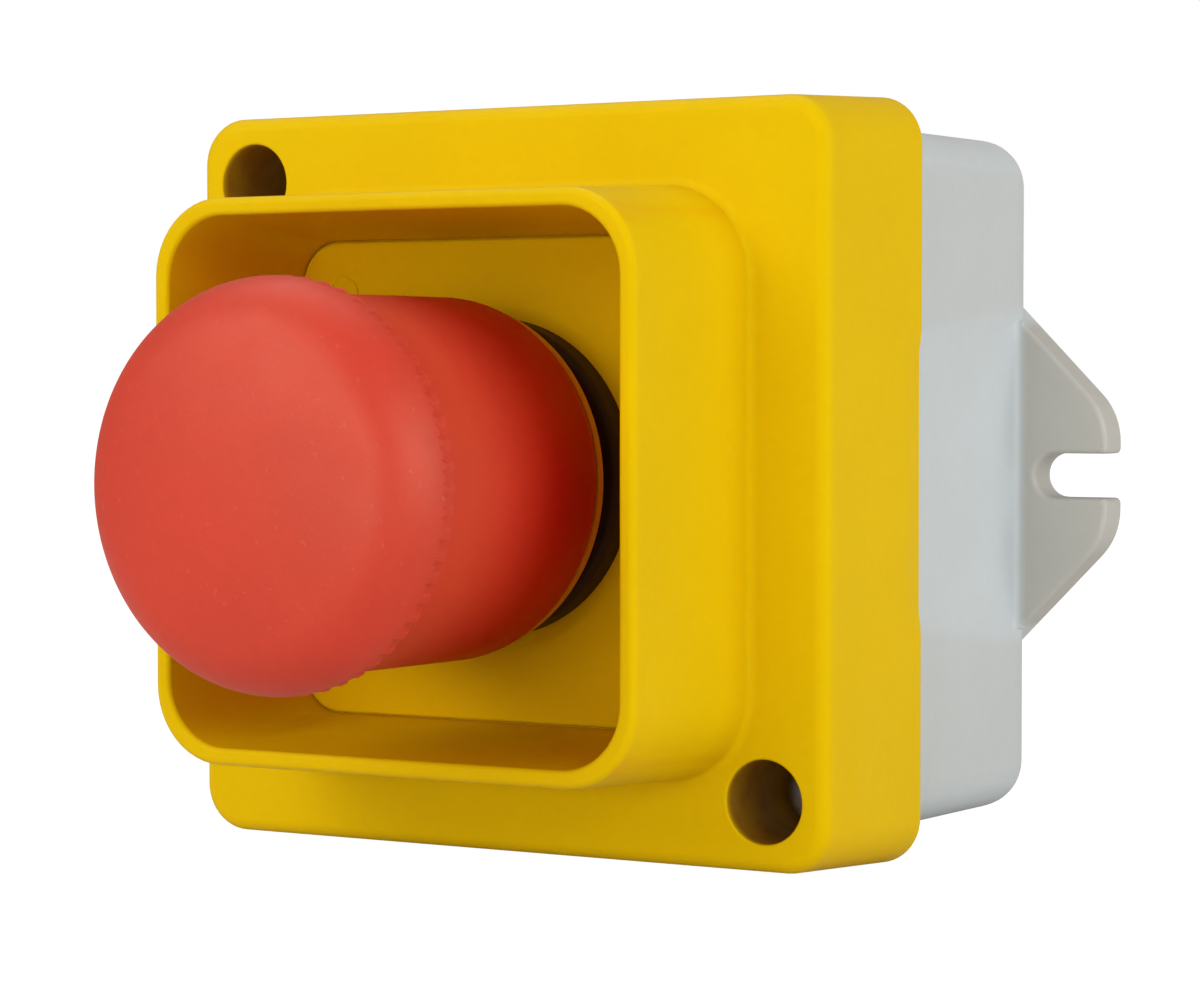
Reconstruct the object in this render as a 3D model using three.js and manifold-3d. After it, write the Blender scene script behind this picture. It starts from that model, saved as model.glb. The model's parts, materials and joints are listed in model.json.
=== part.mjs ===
// Emergency stop station: a red mushroom head in a square guard collar on a yellow cover, over a
// grey wall box with a slotted lug at each side. Millimetres, +Z up.
//
// Every piece is drawn in the panel frame: x to the right, y up, z out of the wall towards the
// user, with z = 0 on the wall. The last group turns that frame so that the user stands at -Y.
// "Rear" is the end nearer the wall and "front" the end nearer the user.

import * as THREE from 'three';
import { mergeVertices } from 'three/addons/utils/BufferGeometryUtils.js';
import Module from 'manifold-3d';

const wasm = await Module();
wasm.setup();

// ---------------------------------------------------------------- driving dimensions

const CLEARANCE = 0.3; // between large resting faces
const FIT = 0.1; // between small resting faces
const RUNNING_FIT = 0.05; // between a sliding or turning piece and its guide, each side
const OVERCUT = 1; // how far a cutter runs past the face it opens
const CHAMFER = 0.5; // on the ends of turned pieces

// Cover, with its guard collar.
const FACE_Z = 50;
const COVER_DEPTH = 18;
const COVER_HALF_FRONT = 36.75;
const COVER_HALF_REAR = 37.5;
const COVER_CORNER = 4.7;
const COVER_EDGE = 1.4; // rounding of the front edge
const COVER_PLATE = 3;
const PLATE_REAR_Z = FACE_Z - COVER_PLATE;
const PARTING_Z = FACE_Z - COVER_DEPTH;
const LEDGE = 2; // width of the ledge inside the skirt that presses on the gasket
const COLLAR_HEIGHT = 19.5;
const COLLAR_HALF_BASE = 28.4;
const COLLAR_HALF_RIM = 27.55;
const COLLAR_CORNER_BASE = 8.6;
const COLLAR_CORNER_RIM = 7.6;
const COLLAR_FOOT = 0.8; // concave rounding where the collar meets the cover
const POCKET_HALF_FLOOR = 24;
const POCKET_HALF_RIM = 25.8;
const POCKET_CORNER_FLOOR = 4.6;
const POCKET_CORNER_RIM = 6.4;
const RIM_ROUND = 0.5;
const RIM_Z = FACE_Z + COLLAR_HEIGHT;
const EJECTOR_MARK = { x: -18.5, y: 19.5, radius: 1.25, depth: 0.15 };

// Wall box.
const BASE_HALF = 34.9;
const BASE_CORNER = 4.9;
const BASE_WALL = 2.5;
const BASE_REAR_WALL = 3;
const BASE_REAR_ROUND = 4.5;
const BASE_RIM_Z = 36;
const GASKET_THICKNESS = 2;
const GASKET_INSET = 0.2;
const SCOOP_HALF_REAR = 15.6; // half height of a scoop's floor beside its lug
const SCOOP_HALF_FRONT = 12.6; // and where it runs under the cover
const SCOOP_DEPTH = 0.6;
const SCOOP_STRAIGHT_Z = 6; // a scoop keeps its full height from its lug to here
const SCOOP_END_RUN = 3.6; // slope of the scoop's ends, run per unit of depth
const COVER_STEP = 0.25; // depth of the step in the cover's side over each scoop
const COVER_STEP_LENGTH = 3;
const KNOCKOUT_RADIUS = 10.2;
const KNOCKOUT_GROOVE = { width: 0.9, depth: 1.2 };
const KNOCKOUT_Z = 17;

// Lugs, with a slot open towards the tip.
const LUG_THICKNESS = 4;
const LUG_TIP_X = 44.5;
const LUG_ROOT_HALF = 16; // half height at the box, from where the sides slope in at 45 degrees
const LUG_TIP_RADIUS = 7;
const LUG_EDGE = 0.5; // chamfer along the edges
const LUG_BURIED = 2; // how far the lug reaches into the box's wall
const SLOT_HALF = 2.3;
const SLOT_CENTRE_X = 38.75;

// Cover screws, on one diagonal, in wells that run down into corner pockets of the wall box.
const SCREW_OFFSET = 30;
const WELL_RADIUS = 4.03;
const WELL_SEAT_Z = 36.7;
const WELL_BOSS_RADIUS = 5.2;
const WELL_BOSS_Z = 33;
const SCREW_HOLE_RADIUS = 2.3;
const SCREW_HOLE_DEPTH = 14;
const CORNER_POCKET_RADIUS = 5.6;
const COLUMN_RADIUS = 8;
const COLUMN_TOP_Z = WELL_BOSS_Z - CLEARANCE;
const INSERT_RADIUS = 3.05;
const INSERT_LENGTH = 8;
const COVER_SCREW = { headRadius: 3.6, headHeight: 2.8, shankRadius: 2, length: 15 };

// Actuator body, bezel and threaded barrel in one.
const PANEL_HOLE_RADIUS = 11.15;
const DEVICE_RISE = 0.35; // height of the button's axis above the middle of the cover
const KEYWAY = { half: 1.6, tip: 12.05 };
const KEY = { half: 1.3, tip: 11.6 };
const BARREL_RADIUS = 11;
const BARREL_ROOT = 10.4;
const THREAD_PITCH = 3.6; // coarser than the real thread, which keeps the model light
const THREAD_FRONT_Z = 46;
const BARREL_REAR_Z = 31;
const BARREL_FLANGE = 1.5; // the inner flange at the rear that the return spring stands on
const BEZEL_RADIUS = 15.6;
const BEZEL_HEIGHT = 2.8;
const BEZEL_EDGE = 0.8;
const BEZEL_FRONT_Z = FACE_Z + BEZEL_HEIGHT;
const BEZEL_SEAL = { inner: 11.8, outer: 13.6, height: 0.9 };
const WIPER = { rear: 48.7, front: 50.5, depth: 1.1, lip: 0.6 };
const RING_NUT = { radius: 14.4, height: 5, edge: 0.8, grips: 12, gripRadius: 1 };

// Stem and head.
const TRAVEL = 4.5;
const STEM_RADIUS = 8.9;
const STEM_TAIL_RADIUS = 6;
const STEM_REAR_Z = 28.9;
const STEM_SHOULDER_Z = 43;
const STEM_FRONT_Z = 84;
const SPIGOT_Z = 62;
const CLIP = { rear: 29.9, thickness: 1, outer: 8.2, groove: 0.9, mouthAngle: 0.7 };
const RETURN_SPRING = { radius: 7.7, wire: 0.5, turns: 4 };
const NECK_RADIUS = 17.5;
const NECK_WALL = 2.5;
const NECK_REAR_Z = 58.8;
const NECK_REAR_EDGE = 0.9;
const NECK_FRONT_Z = 85.5;
const NECK_FRONT_EDGE = 0.4;
const NECK_WEB = { rear: 82, front: 84.5 };
const NECK_HUB_RADIUS = 9.5;
const NECK_SPIGOT = { inner: 13.6, outer: 15.6, height: 3 };
const RING_RADIUS = 17;
const RING_BORE = 11.6;
const RING_HEIGHT = 1.1;
const RING_EDGE = 0.2;
const RING_SLEEVE = { wall: 1.2, height: 3 };
const CAP_REAR_Z = 85.8;
const CAP_REAR_RADIUS = 18.35;
const CAP_RADIUS = 19;
const CAP_SHOULDER = 6.45;
const CAP_FRONT_Z = 94.45;
const CAP_DOME_RADIUS = 59.8;
const CAP_WALL = 2.2;
const CAP_BORE = 15.7;
const CAP_NOTCHES = 58;
const CAP_NOTCH = { length: 1.4, width: 0.7, height: 0.9, outwards: 0.2 };

// Contact carrier and the two contact blocks.
const CARRIER_HALF = 13.6;
const CARRIER_CORNER = 2;
const CARRIER_FRONT_Z = 39;
const CARRIER_REAR_Z = 24.1;
const CARRIER_BORE = 9.3;
const LOCK_SCREW = { radius: 1.5, length: 3.2, z: 35, slotHalf: 0.25, slotDepth: 0.8 };
const BLOCK_X = 5.6;
const BLOCK_HALF_X = 5.3;
const BLOCK_HALF_Y = 22.4;
const BLOCK_REAR_Z = 5;
const BLOCK_FRONT_Z = 24;
const BLOCK_WALL = 1.4;
const BLOCK_FLOOR_Z = 7;
const BLOCK_CEILING_Z = 21.5;
const HOOK = { half: 2.5, thickness: 1.2, reach: 0.7, catchZ: 28.6, frontZ: 30 };
const WIRE_ENTRY = { half: 2, rear: 11, front: 16 };
const PLUNGER_X = 1; // the plungers stand nearer the stem's axis than the middles of the blocks
const PLUNGER_RADIUS = 1.9;
const PLUNGER_FLANGE = { radius: 2.7, rear: 19.2, front: 20.6 };
const BRIDGE = { halfX: 1.8, halfY: 8.5, z: 15 };
const STRIP = { half: 1.9, near: 5.2, far: 20.4, z: 16.6 };
const STRIP_THICKNESS = 0.8; // of bridges and fixed contacts
const TIP = { radius: 0.9, height: 0.4 }; // contact tips on both
const CONTACT_Y = 6.8;
const TERMINAL_Y = 17.8;
const TERMINAL_SCREW = { headRadius: 2.8, headHeight: 2, shankRadius: 1.6, length: 6.5 };
const CONTACT_SPRING = { radius: 1.9, wire: 0.25, turns: 4 };

// ---------------------------------------------------------------- finishes

const YELLOW_PLASTIC = { color: 0xe8bf04, roughness: 0.5, metalness: 0 };
const GREY_PLASTIC = { color: 0xbcc6c3, roughness: 0.55, metalness: 0 };
const RED_PLASTIC = { color: 0xd2402f, roughness: 0.6, metalness: 0 };
const DARK_RED_PLASTIC = { color: 0xb3281c, roughness: 0.55, metalness: 0 };
const ORANGE_PLASTIC = { color: 0xe0a010, roughness: 0.5, metalness: 0 };
const BLACK_PLASTIC = { color: 0x1b1512, roughness: 0.5, metalness: 0 };
const DARK_GREY_PLASTIC = { color: 0x3b3e40, roughness: 0.6, metalness: 0 };
const GREEN_PLASTIC = { color: 0x2f7d4f, roughness: 0.5, metalness: 0 };
const BLACK_RUBBER = { color: 0x151515, roughness: 0.9, metalness: 0 };
const ZINC_STEEL = { color: 0xb8babc, roughness: 0.35, metalness: 1 };
const SPRING_STEEL = { color: 0xa9abad, roughness: 0.3, metalness: 1 };
const BRASS = { color: 0xc2a24e, roughness: 0.35, metalness: 1 };

// ---------------------------------------------------------------- solids and booleans

function signedVolume(positions, indices) {
  const a = new THREE.Vector3();
  const b = new THREE.Vector3();
  const c = new THREE.Vector3();
  let volume = 0;
  for (let i = 0; i < indices.length; i += 3) {
    a.fromArray(positions, indices[i] * 3);
    b.fromArray(positions, indices[i + 1] * 3);
    c.fromArray(positions, indices[i + 2] * 3);
    volume += a.dot(b.cross(c)) / 6;
  }
  return volume;
}

// A closed three.js geometry as a solid, with its faces turned outwards.
function toSolid(geometry) {
  const bare = geometry.clone();
  bare.deleteAttribute('normal');
  bare.deleteAttribute('uv');
  const merged = mergeVertices(bare, 1e-4);
  const vertProperties = new Float32Array(merged.attributes.position.array);
  const triVerts = new Uint32Array(merged.index.array);
  if (signedVolume(vertProperties, triVerts) < 0) {
    for (let i = 0; i < triVerts.length; i += 3) {
      [triVerts[i + 1], triVerts[i + 2]] = [triVerts[i + 2], triVerts[i + 1]];
    }
  }
  return new wasm.Manifold(new wasm.Mesh({ numProp: 3, vertProperties, triVerts }));
}

function toGeometry(solid) {
  const mesh = solid.getMesh();
  const positions = new THREE.BufferAttribute(new Float32Array(mesh.vertProperties), 3);
  const geometry = new THREE.BufferGeometry();
  geometry.setAttribute('position', positions);
  geometry.setIndex(new THREE.BufferAttribute(new Uint32Array(mesh.triVerts), 1));
  geometry.computeVertexNormals();
  return geometry;
}

function named(name, solid, finish) {
  const mesh = new THREE.Mesh(toGeometry(solid), new THREE.MeshStandardMaterial(finish));
  mesh.name = name;
  return mesh;
}

// A [radius, z] profile turned about the z axis. It starts and ends on the axis.
function turned(profile, segments) {
  const points = profile.map(([radius, z]) => new THREE.Vector2(radius, z));
  const geometry = new THREE.LatheGeometry(points, segments);
  geometry.rotateX(Math.PI / 2);
  return toSolid(geometry);
}

// The same for a ring, whose profile closes on itself.
function turnedRing(profile, segments) {
  return turned([...profile, profile[0]], segments);
}

function rod(radius, rear, front, segments, x = 0, y = 0) {
  const geometry = new THREE.CylinderGeometry(radius, radius, front - rear, segments);
  geometry.rotateX(Math.PI / 2);
  geometry.translate(x, y, (rear + front) / 2);
  return toSolid(geometry);
}

// A box from [low, high] pairs along x, y and z.
function block(x, y, z) {
  const geometry = new THREE.BoxGeometry(x[1] - x[0], y[1] - y[0], z[1] - z[0]);
  geometry.translate((x[0] + x[1]) / 2, (y[0] + y[1]) / 2, (z[0] + z[1]) / 2);
  return toSolid(geometry);
}

// The [low, high] pair between two distances from the middle, on the side given as 1 or -1.
function sided(side, near, far) {
  return side > 0 ? [near, far] : [-far, -near];
}

// A stack of rounded squares, each { z, half, corner }, joined by straight walls.
function squareStack(sections, curveSegments = 3) {
  const corner = 1;
  const flat = 1;
  const shape = new THREE.Shape();
  shape.absarc(flat, flat, corner, 0, Math.PI / 2);
  shape.absarc(-flat, flat, corner, Math.PI / 2, Math.PI);
  shape.absarc(-flat, -flat, corner, Math.PI, 1.5 * Math.PI);
  shape.absarc(flat, -flat, corner, 1.5 * Math.PI, 2 * Math.PI);
  const steps = sections.length - 1;
  const settings = { depth: steps, steps, bevelEnabled: false, curveSegments };
  const geometry = new THREE.ExtrudeGeometry(shape, settings);
  const position = geometry.attributes.position;
  for (let i = 0; i < position.count; i += 1) {
    const section = sections[Math.round(position.getZ(i))];
    const centre = section.half - section.corner;
    const place = (value) => Math.sign(value) * (centre + section.corner * (Math.abs(value) - flat));
    position.setXYZ(i, place(position.getX(i)), place(position.getY(i)), section.z);
  }
  return toSolid(geometry);
}

function squarePrism(half, corner, rear, front) {
  return squareStack([
    { z: rear, half, corner },
    { z: front, half, corner },
  ]);
}

// Points of a quarter circle as { inset, rise }, from a side wall (0, 0) to an end face (r, r).
function quarterRound(radius, steps) {
  const points = [];
  for (let i = 0; i <= steps; i += 1) {
    const angle = (i / steps) * (Math.PI / 2);
    points.push({ inset: radius * (1 - Math.cos(angle)), rise: radius * Math.sin(angle) });
  }
  return points;
}

// A helix about the z axis.
class CoilCurve extends THREE.Curve {
  constructor(radius, rear, front, turns) {
    super();
    this.radius = radius;
    this.rear = rear;
    this.front = front;
    this.turns = turns;
  }

  getPoint(t, target = new THREE.Vector3()) {
    const angle = 2 * Math.PI * this.turns * t;
    const z = this.rear + (this.front - this.rear) * t;
    return target.set(this.radius * Math.cos(angle), this.radius * Math.sin(angle), z);
  }
}

function coil({ radius, wire, turns }, rear, front) {
  const section = new THREE.Shape();
  section.absarc(0, 0, wire, 0, 2 * Math.PI);
  const geometry = new THREE.ExtrudeGeometry(section, {
    steps: turns * 8,
    curveSegments: 3,
    bevelEnabled: false,
    extrudePath: new CoilCurve(radius, rear + wire, front - wire, turns),
  });
  return toSolid(geometry);
}

// ---------------------------------------------------------------- cover

// The same upright cylinder at both cover screws.
function screwCorners(radius, rear, front, segments) {
  const upperLeft = rod(radius, rear, front, segments, -SCREW_OFFSET, SCREW_OFFSET);
  const lowerRight = rod(radius, rear, front, segments, SCREW_OFFSET, -SCREW_OFFSET);
  return upperLeft.add(lowerRight);
}

function coverOutside() {
  const sections = [{ z: PARTING_Z, half: COVER_HALF_REAR, corner: COVER_CORNER }];
  for (const { inset, rise } of quarterRound(COVER_EDGE, 4)) {
    sections.push({
      z: FACE_Z - COVER_EDGE + rise,
      half: COVER_HALF_FRONT - inset,
      corner: COVER_CORNER - inset,
    });
  }
  return squareStack(sections);
}

function collarOutside() {
  const footHalf = COLLAR_HALF_BASE + COLLAR_FOOT;
  const sections = [{ z: FACE_Z - OVERCUT, half: footHalf, corner: COLLAR_CORNER_BASE + COLLAR_FOOT }];
  for (const { inset, rise } of quarterRound(COLLAR_FOOT, 3)) {
    sections.push({
      z: FACE_Z + inset,
      half: COLLAR_HALF_BASE + COLLAR_FOOT - rise,
      corner: COLLAR_CORNER_BASE + COLLAR_FOOT - rise,
    });
  }
  for (const { inset, rise } of quarterRound(RIM_ROUND, 3)) {
    sections.push({
      z: RIM_Z - RIM_ROUND + rise,
      half: COLLAR_HALF_RIM - inset,
      corner: COLLAR_CORNER_RIM - inset,
    });
  }
  return squareStack(sections, 4);
}

function collarPocket() {
  const floorRound = 0.5;
  const rimHalf = POCKET_HALF_RIM + RIM_ROUND;
  const rimCorner = POCKET_CORNER_RIM + RIM_ROUND;
  return squareStack([
    { z: FACE_Z, half: POCKET_HALF_FLOOR - floorRound, corner: POCKET_CORNER_FLOOR - floorRound },
    { z: FACE_Z + floorRound, half: POCKET_HALF_FLOOR, corner: POCKET_CORNER_FLOOR },
    { z: RIM_Z - RIM_ROUND, half: POCKET_HALF_RIM, corner: POCKET_CORNER_RIM },
    { z: RIM_Z, half: rimHalf, corner: rimCorner },
    { z: RIM_Z + OVERCUT, half: rimHalf, corner: rimCorner },
  ], 4);
}

// The space inside the skirt: wide over the box's rim, narrower in front of the gasket's ledge.
function coverInside() {
  const half = BASE_HALF + CLEARANCE;
  const ledgeZ = BASE_RIM_Z + GASKET_THICKNESS + CLEARANCE;
  const overRim = squarePrism(half, BASE_CORNER + CLEARANCE, PARTING_Z - OVERCUT, ledgeZ);
  return overRim.add(squarePrism(half - LEDGE, BASE_CORNER, ledgeZ - OVERCUT, PLATE_REAR_Z));
}

// A shallow recess in a side wall, with a flat floor and sloping ends. In front of straightZ it
// gets narrower towards the front.
function sideScoop(side, floorX, rear, straightZ, front) {
  const reach = 1.5;
  const geometry = new THREE.BoxGeometry(reach, 2, front - rear, 1, 1, 2);
  geometry.translate(side * (floorX + reach / 2), 0, (rear + front) / 2);
  const position = geometry.attributes.position;
  const narrowing = (SCOOP_HALF_REAR - SCOOP_HALF_FRONT) / (PARTING_Z - SCOOP_STRAIGHT_Z);
  for (let i = 0; i < position.count; i += 1) {
    const isMiddle = position.getZ(i) > rear && position.getZ(i) < front;
    const z = isMiddle ? straightZ : position.getZ(i);
    const floorHalf = SCOOP_HALF_REAR - narrowing * Math.max(z - SCOOP_STRAIGHT_Z, 0);
    const depth = Math.abs(position.getX(i)) - floorX;
    position.setZ(i, z);
    position.setY(i, Math.sign(position.getY(i)) * (floorHalf + depth * SCOOP_END_RUN));
  }
  return toSolid(geometry);
}

function frontCover() {
  const outside = coverOutside();
  const bosses = screwCorners(WELL_BOSS_RADIUS, WELL_BOSS_Z, FACE_Z, 24).intersect(outside);
  let cover = outside.subtract(coverInside()).add(bosses).add(collarOutside());
  cover = cover.subtract(collarPocket());
  cover = cover.subtract(screwCorners(WELL_RADIUS, WELL_SEAT_Z, FACE_Z + OVERCUT, 24));
  cover = cover.subtract(screwCorners(SCREW_HOLE_RADIUS, WELL_BOSS_Z - OVERCUT, FACE_Z, 16));

  const throughPlate = [PLATE_REAR_Z - OVERCUT, FACE_Z + OVERCUT];
  const keyway = [BARREL_ROOT + DEVICE_RISE, KEYWAY.tip + DEVICE_RISE];
  cover = cover.subtract(rod(PANEL_HOLE_RADIUS, ...throughPlate, 36, 0, DEVICE_RISE));
  cover = cover.subtract(block([-KEYWAY.half, KEYWAY.half], keyway, throughPlate));

  const { x, y, radius, depth } = EJECTOR_MARK;
  cover = cover.subtract(rod(radius, FACE_Z - depth, FACE_Z + OVERCUT, 20, x, y));

  const stepFloorX = COVER_HALF_REAR - COVER_STEP;
  const stepFront = PARTING_Z + COVER_STEP_LENGTH;
  for (const side of [-1, 1]) {
    cover = cover.subtract(sideScoop(side, stepFloorX, PARTING_Z - OVERCUT, PARTING_Z, stepFront));
  }
  return named('front_cover', cover, YELLOW_PLASTIC);
}

// ---------------------------------------------------------------- wall box

// The right lug's outline, set in by its chamfer.
function lugShape() {
  const tipX = LUG_TIP_X - LUG_EDGE;
  const tipRadius = LUG_TIP_RADIUS - LUG_EDGE;
  const rootHalf = LUG_ROOT_HALF - LUG_EDGE;
  const slotHalf = SLOT_HALF + LUG_EDGE;
  const buriedHalf = rootHalf + LUG_BURIED;
  const slopesMeetTipY = rootHalf + BASE_HALF - tipX;
  const arcY = slopesMeetTipY - tipRadius * Math.tan(Math.PI / 8);
  const shape = new THREE.Shape();
  shape.moveTo(BASE_HALF - LUG_BURIED, buriedHalf);
  shape.lineTo(BASE_HALF - LUG_BURIED, -buriedHalf);
  shape.absarc(tipX - tipRadius, -arcY, tipRadius, -Math.PI / 4, 0, false);
  shape.lineTo(tipX, -slotHalf);
  shape.absarc(SLOT_CENTRE_X, 0, slotHalf, -Math.PI / 2, Math.PI / 2, true);
  shape.lineTo(tipX, slotHalf);
  shape.absarc(tipX - tipRadius, arcY, tipRadius, 0, Math.PI / 4, false);
  shape.closePath();
  return shape;
}

function lug(side) {
  const geometry = new THREE.ExtrudeGeometry(lugShape(), {
    depth: LUG_THICKNESS - 2 * LUG_EDGE,
    bevelThickness: LUG_EDGE,
    bevelSize: LUG_EDGE,
    bevelSegments: 1,
    curveSegments: 4,
  });
  geometry.translate(0, 0, LUG_EDGE);
  if (side < 0) {
    geometry.rotateZ(Math.PI);
  }
  return toSolid(geometry);
}

function boxOutside() {
  const sections = [];
  for (const { inset, rise } of quarterRound(BASE_REAR_ROUND, 4).reverse()) {
    sections.push({
      z: BASE_REAR_ROUND - rise,
      half: BASE_HALF - inset,
      corner: BASE_CORNER - inset,
    });
  }
  sections.push({ z: BASE_RIM_Z, half: BASE_HALF, corner: BASE_CORNER });
  return squareStack(sections);
}

// A rounded square prism that leaves out a round column at both cover screws.
function clearOfScrews(half, corner, columnRadius, rear, front) {
  const columns = screwCorners(columnRadius, rear - OVERCUT, front + OVERCUT, 24);
  return squarePrism(half, corner, rear, front).subtract(columns);
}

// The ring groove that leaves a thin web to break out for a cable gland.
function knockoutGroove(side) {
  const inner = KNOCKOUT_RADIUS - KNOCKOUT_GROOVE.width;
  const profile = [
    new THREE.Vector2(inner, -KNOCKOUT_GROOVE.depth),
    new THREE.Vector2(KNOCKOUT_RADIUS, -KNOCKOUT_GROOVE.depth),
    new THREE.Vector2(KNOCKOUT_RADIUS, OVERCUT),
    new THREE.Vector2(inner, OVERCUT),
    new THREE.Vector2(inner, -KNOCKOUT_GROOVE.depth),
  ];
  const ring = new THREE.LatheGeometry(profile, 28);
  if (side < 0) {
    ring.rotateX(Math.PI);
  }
  ring.translate(0, side * BASE_HALF, KNOCKOUT_Z);
  return toSolid(ring);
}

function rearBase() {
  const open = BASE_RIM_Z + OVERCUT;
  const innerHalf = BASE_HALF - BASE_WALL;
  const insertHoleZ = COLUMN_TOP_Z - INSERT_LENGTH - FIT;
  let base = boxOutside();
  for (const side of [-1, 1]) {
    const floorX = BASE_HALF - SCOOP_DEPTH;
    base = base.subtract(sideScoop(side, floorX, LUG_THICKNESS, SCOOP_STRAIGHT_Z, PARTING_Z));
    base = base.add(lug(side));
    base = base.subtract(knockoutGroove(side));
  }
  base = base.subtract(clearOfScrews(innerHalf, BASE_CORNER - 1, COLUMN_RADIUS, BASE_REAR_WALL, open));
  base = base.subtract(screwCorners(CORNER_POCKET_RADIUS, COLUMN_TOP_Z, open, 24));
  base = base.subtract(screwCorners(INSERT_RADIUS + RUNNING_FIT, insertHoleZ, open, 16));
  base = base.subtract(screwCorners(SCREW_HOLE_RADIUS, COLUMN_TOP_Z - SCREW_HOLE_DEPTH, open, 16));
  return named('rear_base', base, GREY_PLASTIC);
}

function coverGasket() {
  const rear = BASE_RIM_Z + RUNNING_FIT;
  const front = BASE_RIM_Z + GASKET_THICKNESS;
  const outerHalf = BASE_HALF - GASKET_INSET;
  const innerHalf = BASE_HALF - BASE_WALL + GASKET_INSET;
  const outerColumn = CORNER_POCKET_RADIUS + GASKET_INSET;
  const innerColumn = COLUMN_RADIUS - GASKET_INSET;
  const outer = clearOfScrews(outerHalf, BASE_CORNER, outerColumn, rear, front);
  const inner = clearOfScrews(
    innerHalf,
    BASE_CORNER - 1,
    innerColumn,
    rear - OVERCUT,
    front + OVERCUT,
  );
  return named('cover_gasket', outer.subtract(inner), BLACK_RUBBER);
}

// A cross-recessed screw: the underside of its head at z = 0, its point at z = -length.
function crossScrew({ headRadius, headHeight, shankRadius, length }, segments) {
  const recessZ = [headHeight * 0.4, headHeight + OVERCUT];
  const across = [-headRadius * 0.16, headRadius * 0.16];
  const along = [-headRadius * 0.6, headRadius * 0.6];
  const profile = [
    [0, -length],
    [shankRadius * 0.7, -length],
    [shankRadius, -length + shankRadius * 0.6],
    [shankRadius, 0],
    [headRadius, 0],
    [headRadius, headHeight * 0.55],
    [headRadius * 0.8, headHeight * 0.9],
    [headRadius * 0.45, headHeight],
    [0, headHeight],
  ];
  const screw = turned(profile, segments);
  return screw.subtract(block(along, across, recessZ)).subtract(block(across, along, recessZ));
}

// A brass insert with two gripping bands, its front face at z = 0.
function threadInsert() {
  const bore = COVER_SCREW.shankRadius + RUNNING_FIT;
  const waist = INSERT_RADIUS - 0.35;
  const profile = [
    [bore, -INSERT_LENGTH],
    [waist, -INSERT_LENGTH],
    [INSERT_RADIUS, -INSERT_LENGTH * 0.92],
    [INSERT_RADIUS, -INSERT_LENGTH * 0.58],
    [waist, -INSERT_LENGTH * 0.54],
    [waist, -INSERT_LENGTH * 0.46],
    [INSERT_RADIUS, -INSERT_LENGTH * 0.42],
    [INSERT_RADIUS, 0],
    [bore, 0],
  ];
  return turnedRing(profile, 16);
}

function coverFastener(corner, x, y) {
  const screw = named(`cover_screw_${corner}`, crossScrew(COVER_SCREW, 18), ZINC_STEEL);
  screw.position.z = WELL_SEAT_Z + RUNNING_FIT;
  const insert = named(`thread_insert_${corner}`, threadInsert(), BRASS);
  insert.position.z = COLUMN_TOP_Z;
  const fastener = new THREE.Group();
  fastener.add(screw, insert);
  fastener.position.set(x, y, 0);
  return fastener;
}

// ---------------------------------------------------------------- actuator

function actuatorBody() {
  const seat = FACE_Z + RUNNING_FIT;
  const rear = BARREL_REAR_Z + FIT;
  const tailBore = STEM_TAIL_RADIUS + RUNNING_FIT;
  const guide = STEM_RADIUS + RUNNING_FIT;
  const guideRear = STEM_SHOULDER_Z - TRAVEL - 2 * CLEARANCE;
  const springBore = guide + 0.35;
  const flangeFront = BARREL_REAR_Z + BARREL_FLANGE + FIT;
  const grooveFront = seat + BEZEL_SEAL.height + FIT;
  const profile = [[tailBore, rear], [BARREL_ROOT, rear]];
  for (let z = BARREL_REAR_Z + 1; z < THREAD_FRONT_Z; z += THREAD_PITCH) {
    profile.push([BARREL_ROOT, z], [BARREL_RADIUS, z + THREAD_PITCH / 2]);
  }
  profile.push(
    [BARREL_RADIUS, seat],
    [BEZEL_SEAL.inner - FIT, seat],
    [BEZEL_SEAL.inner - FIT, grooveFront],
    [BEZEL_SEAL.outer + FIT, grooveFront],
    [BEZEL_SEAL.outer + FIT, seat],
    [BEZEL_RADIUS, seat],
    [BEZEL_RADIUS, BEZEL_FRONT_Z - BEZEL_EDGE],
    [BEZEL_RADIUS - 0.3 * BEZEL_EDGE, BEZEL_FRONT_Z - 0.3 * BEZEL_EDGE],
    [BEZEL_RADIUS - BEZEL_EDGE, BEZEL_FRONT_Z],
    [guide + CHAMFER, BEZEL_FRONT_Z],
    [guide, BEZEL_FRONT_Z - CHAMFER],
    [guide, WIPER.front + FIT],
    [guide + WIPER.depth, WIPER.front + FIT],
    [guide + WIPER.depth, WIPER.rear - FIT],
    [guide, WIPER.rear - FIT],
    [guide, guideRear],
    [springBore, guideRear - CHAMFER],
    [springBore, flangeFront],
    [tailBore, flangeFront],
  );
  const keyRoot = BARREL_ROOT - CLEARANCE;
  const key = block([-KEY.half, KEY.half], [keyRoot, KEY.tip], [PLATE_REAR_Z, seat + CLEARANCE]);
  return named('actuator_body', turnedRing(profile, 32).add(key), BLACK_PLASTIC);
}

function bezelSeal() {
  const rear = FACE_Z + RUNNING_FIT;
  const front = rear + BEZEL_SEAL.height;
  const profile = [
    [BEZEL_SEAL.inner, rear],
    [BEZEL_SEAL.outer, rear],
    [BEZEL_SEAL.outer, front],
    [BEZEL_SEAL.inner, front],
  ];
  return named('bezel_seal', turnedRing(profile, 32), BLACK_RUBBER);
}

// The wiper in the bezel's bore, with its lip against the stem.
function stemSeal() {
  const lip = STEM_RADIUS + RUNNING_FIT;
  const shoulder = STEM_RADIUS + WIPER.lip;
  const back = STEM_RADIUS + WIPER.depth;
  const profile = [
    [lip, WIPER.rear + WIPER.lip],
    [shoulder, WIPER.rear],
    [back, WIPER.rear],
    [back, WIPER.front],
    [shoulder, WIPER.front],
    [lip, WIPER.front - WIPER.lip],
  ];
  return named('stem_seal', turnedRing(profile, 32), BLACK_RUBBER);
}

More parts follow.
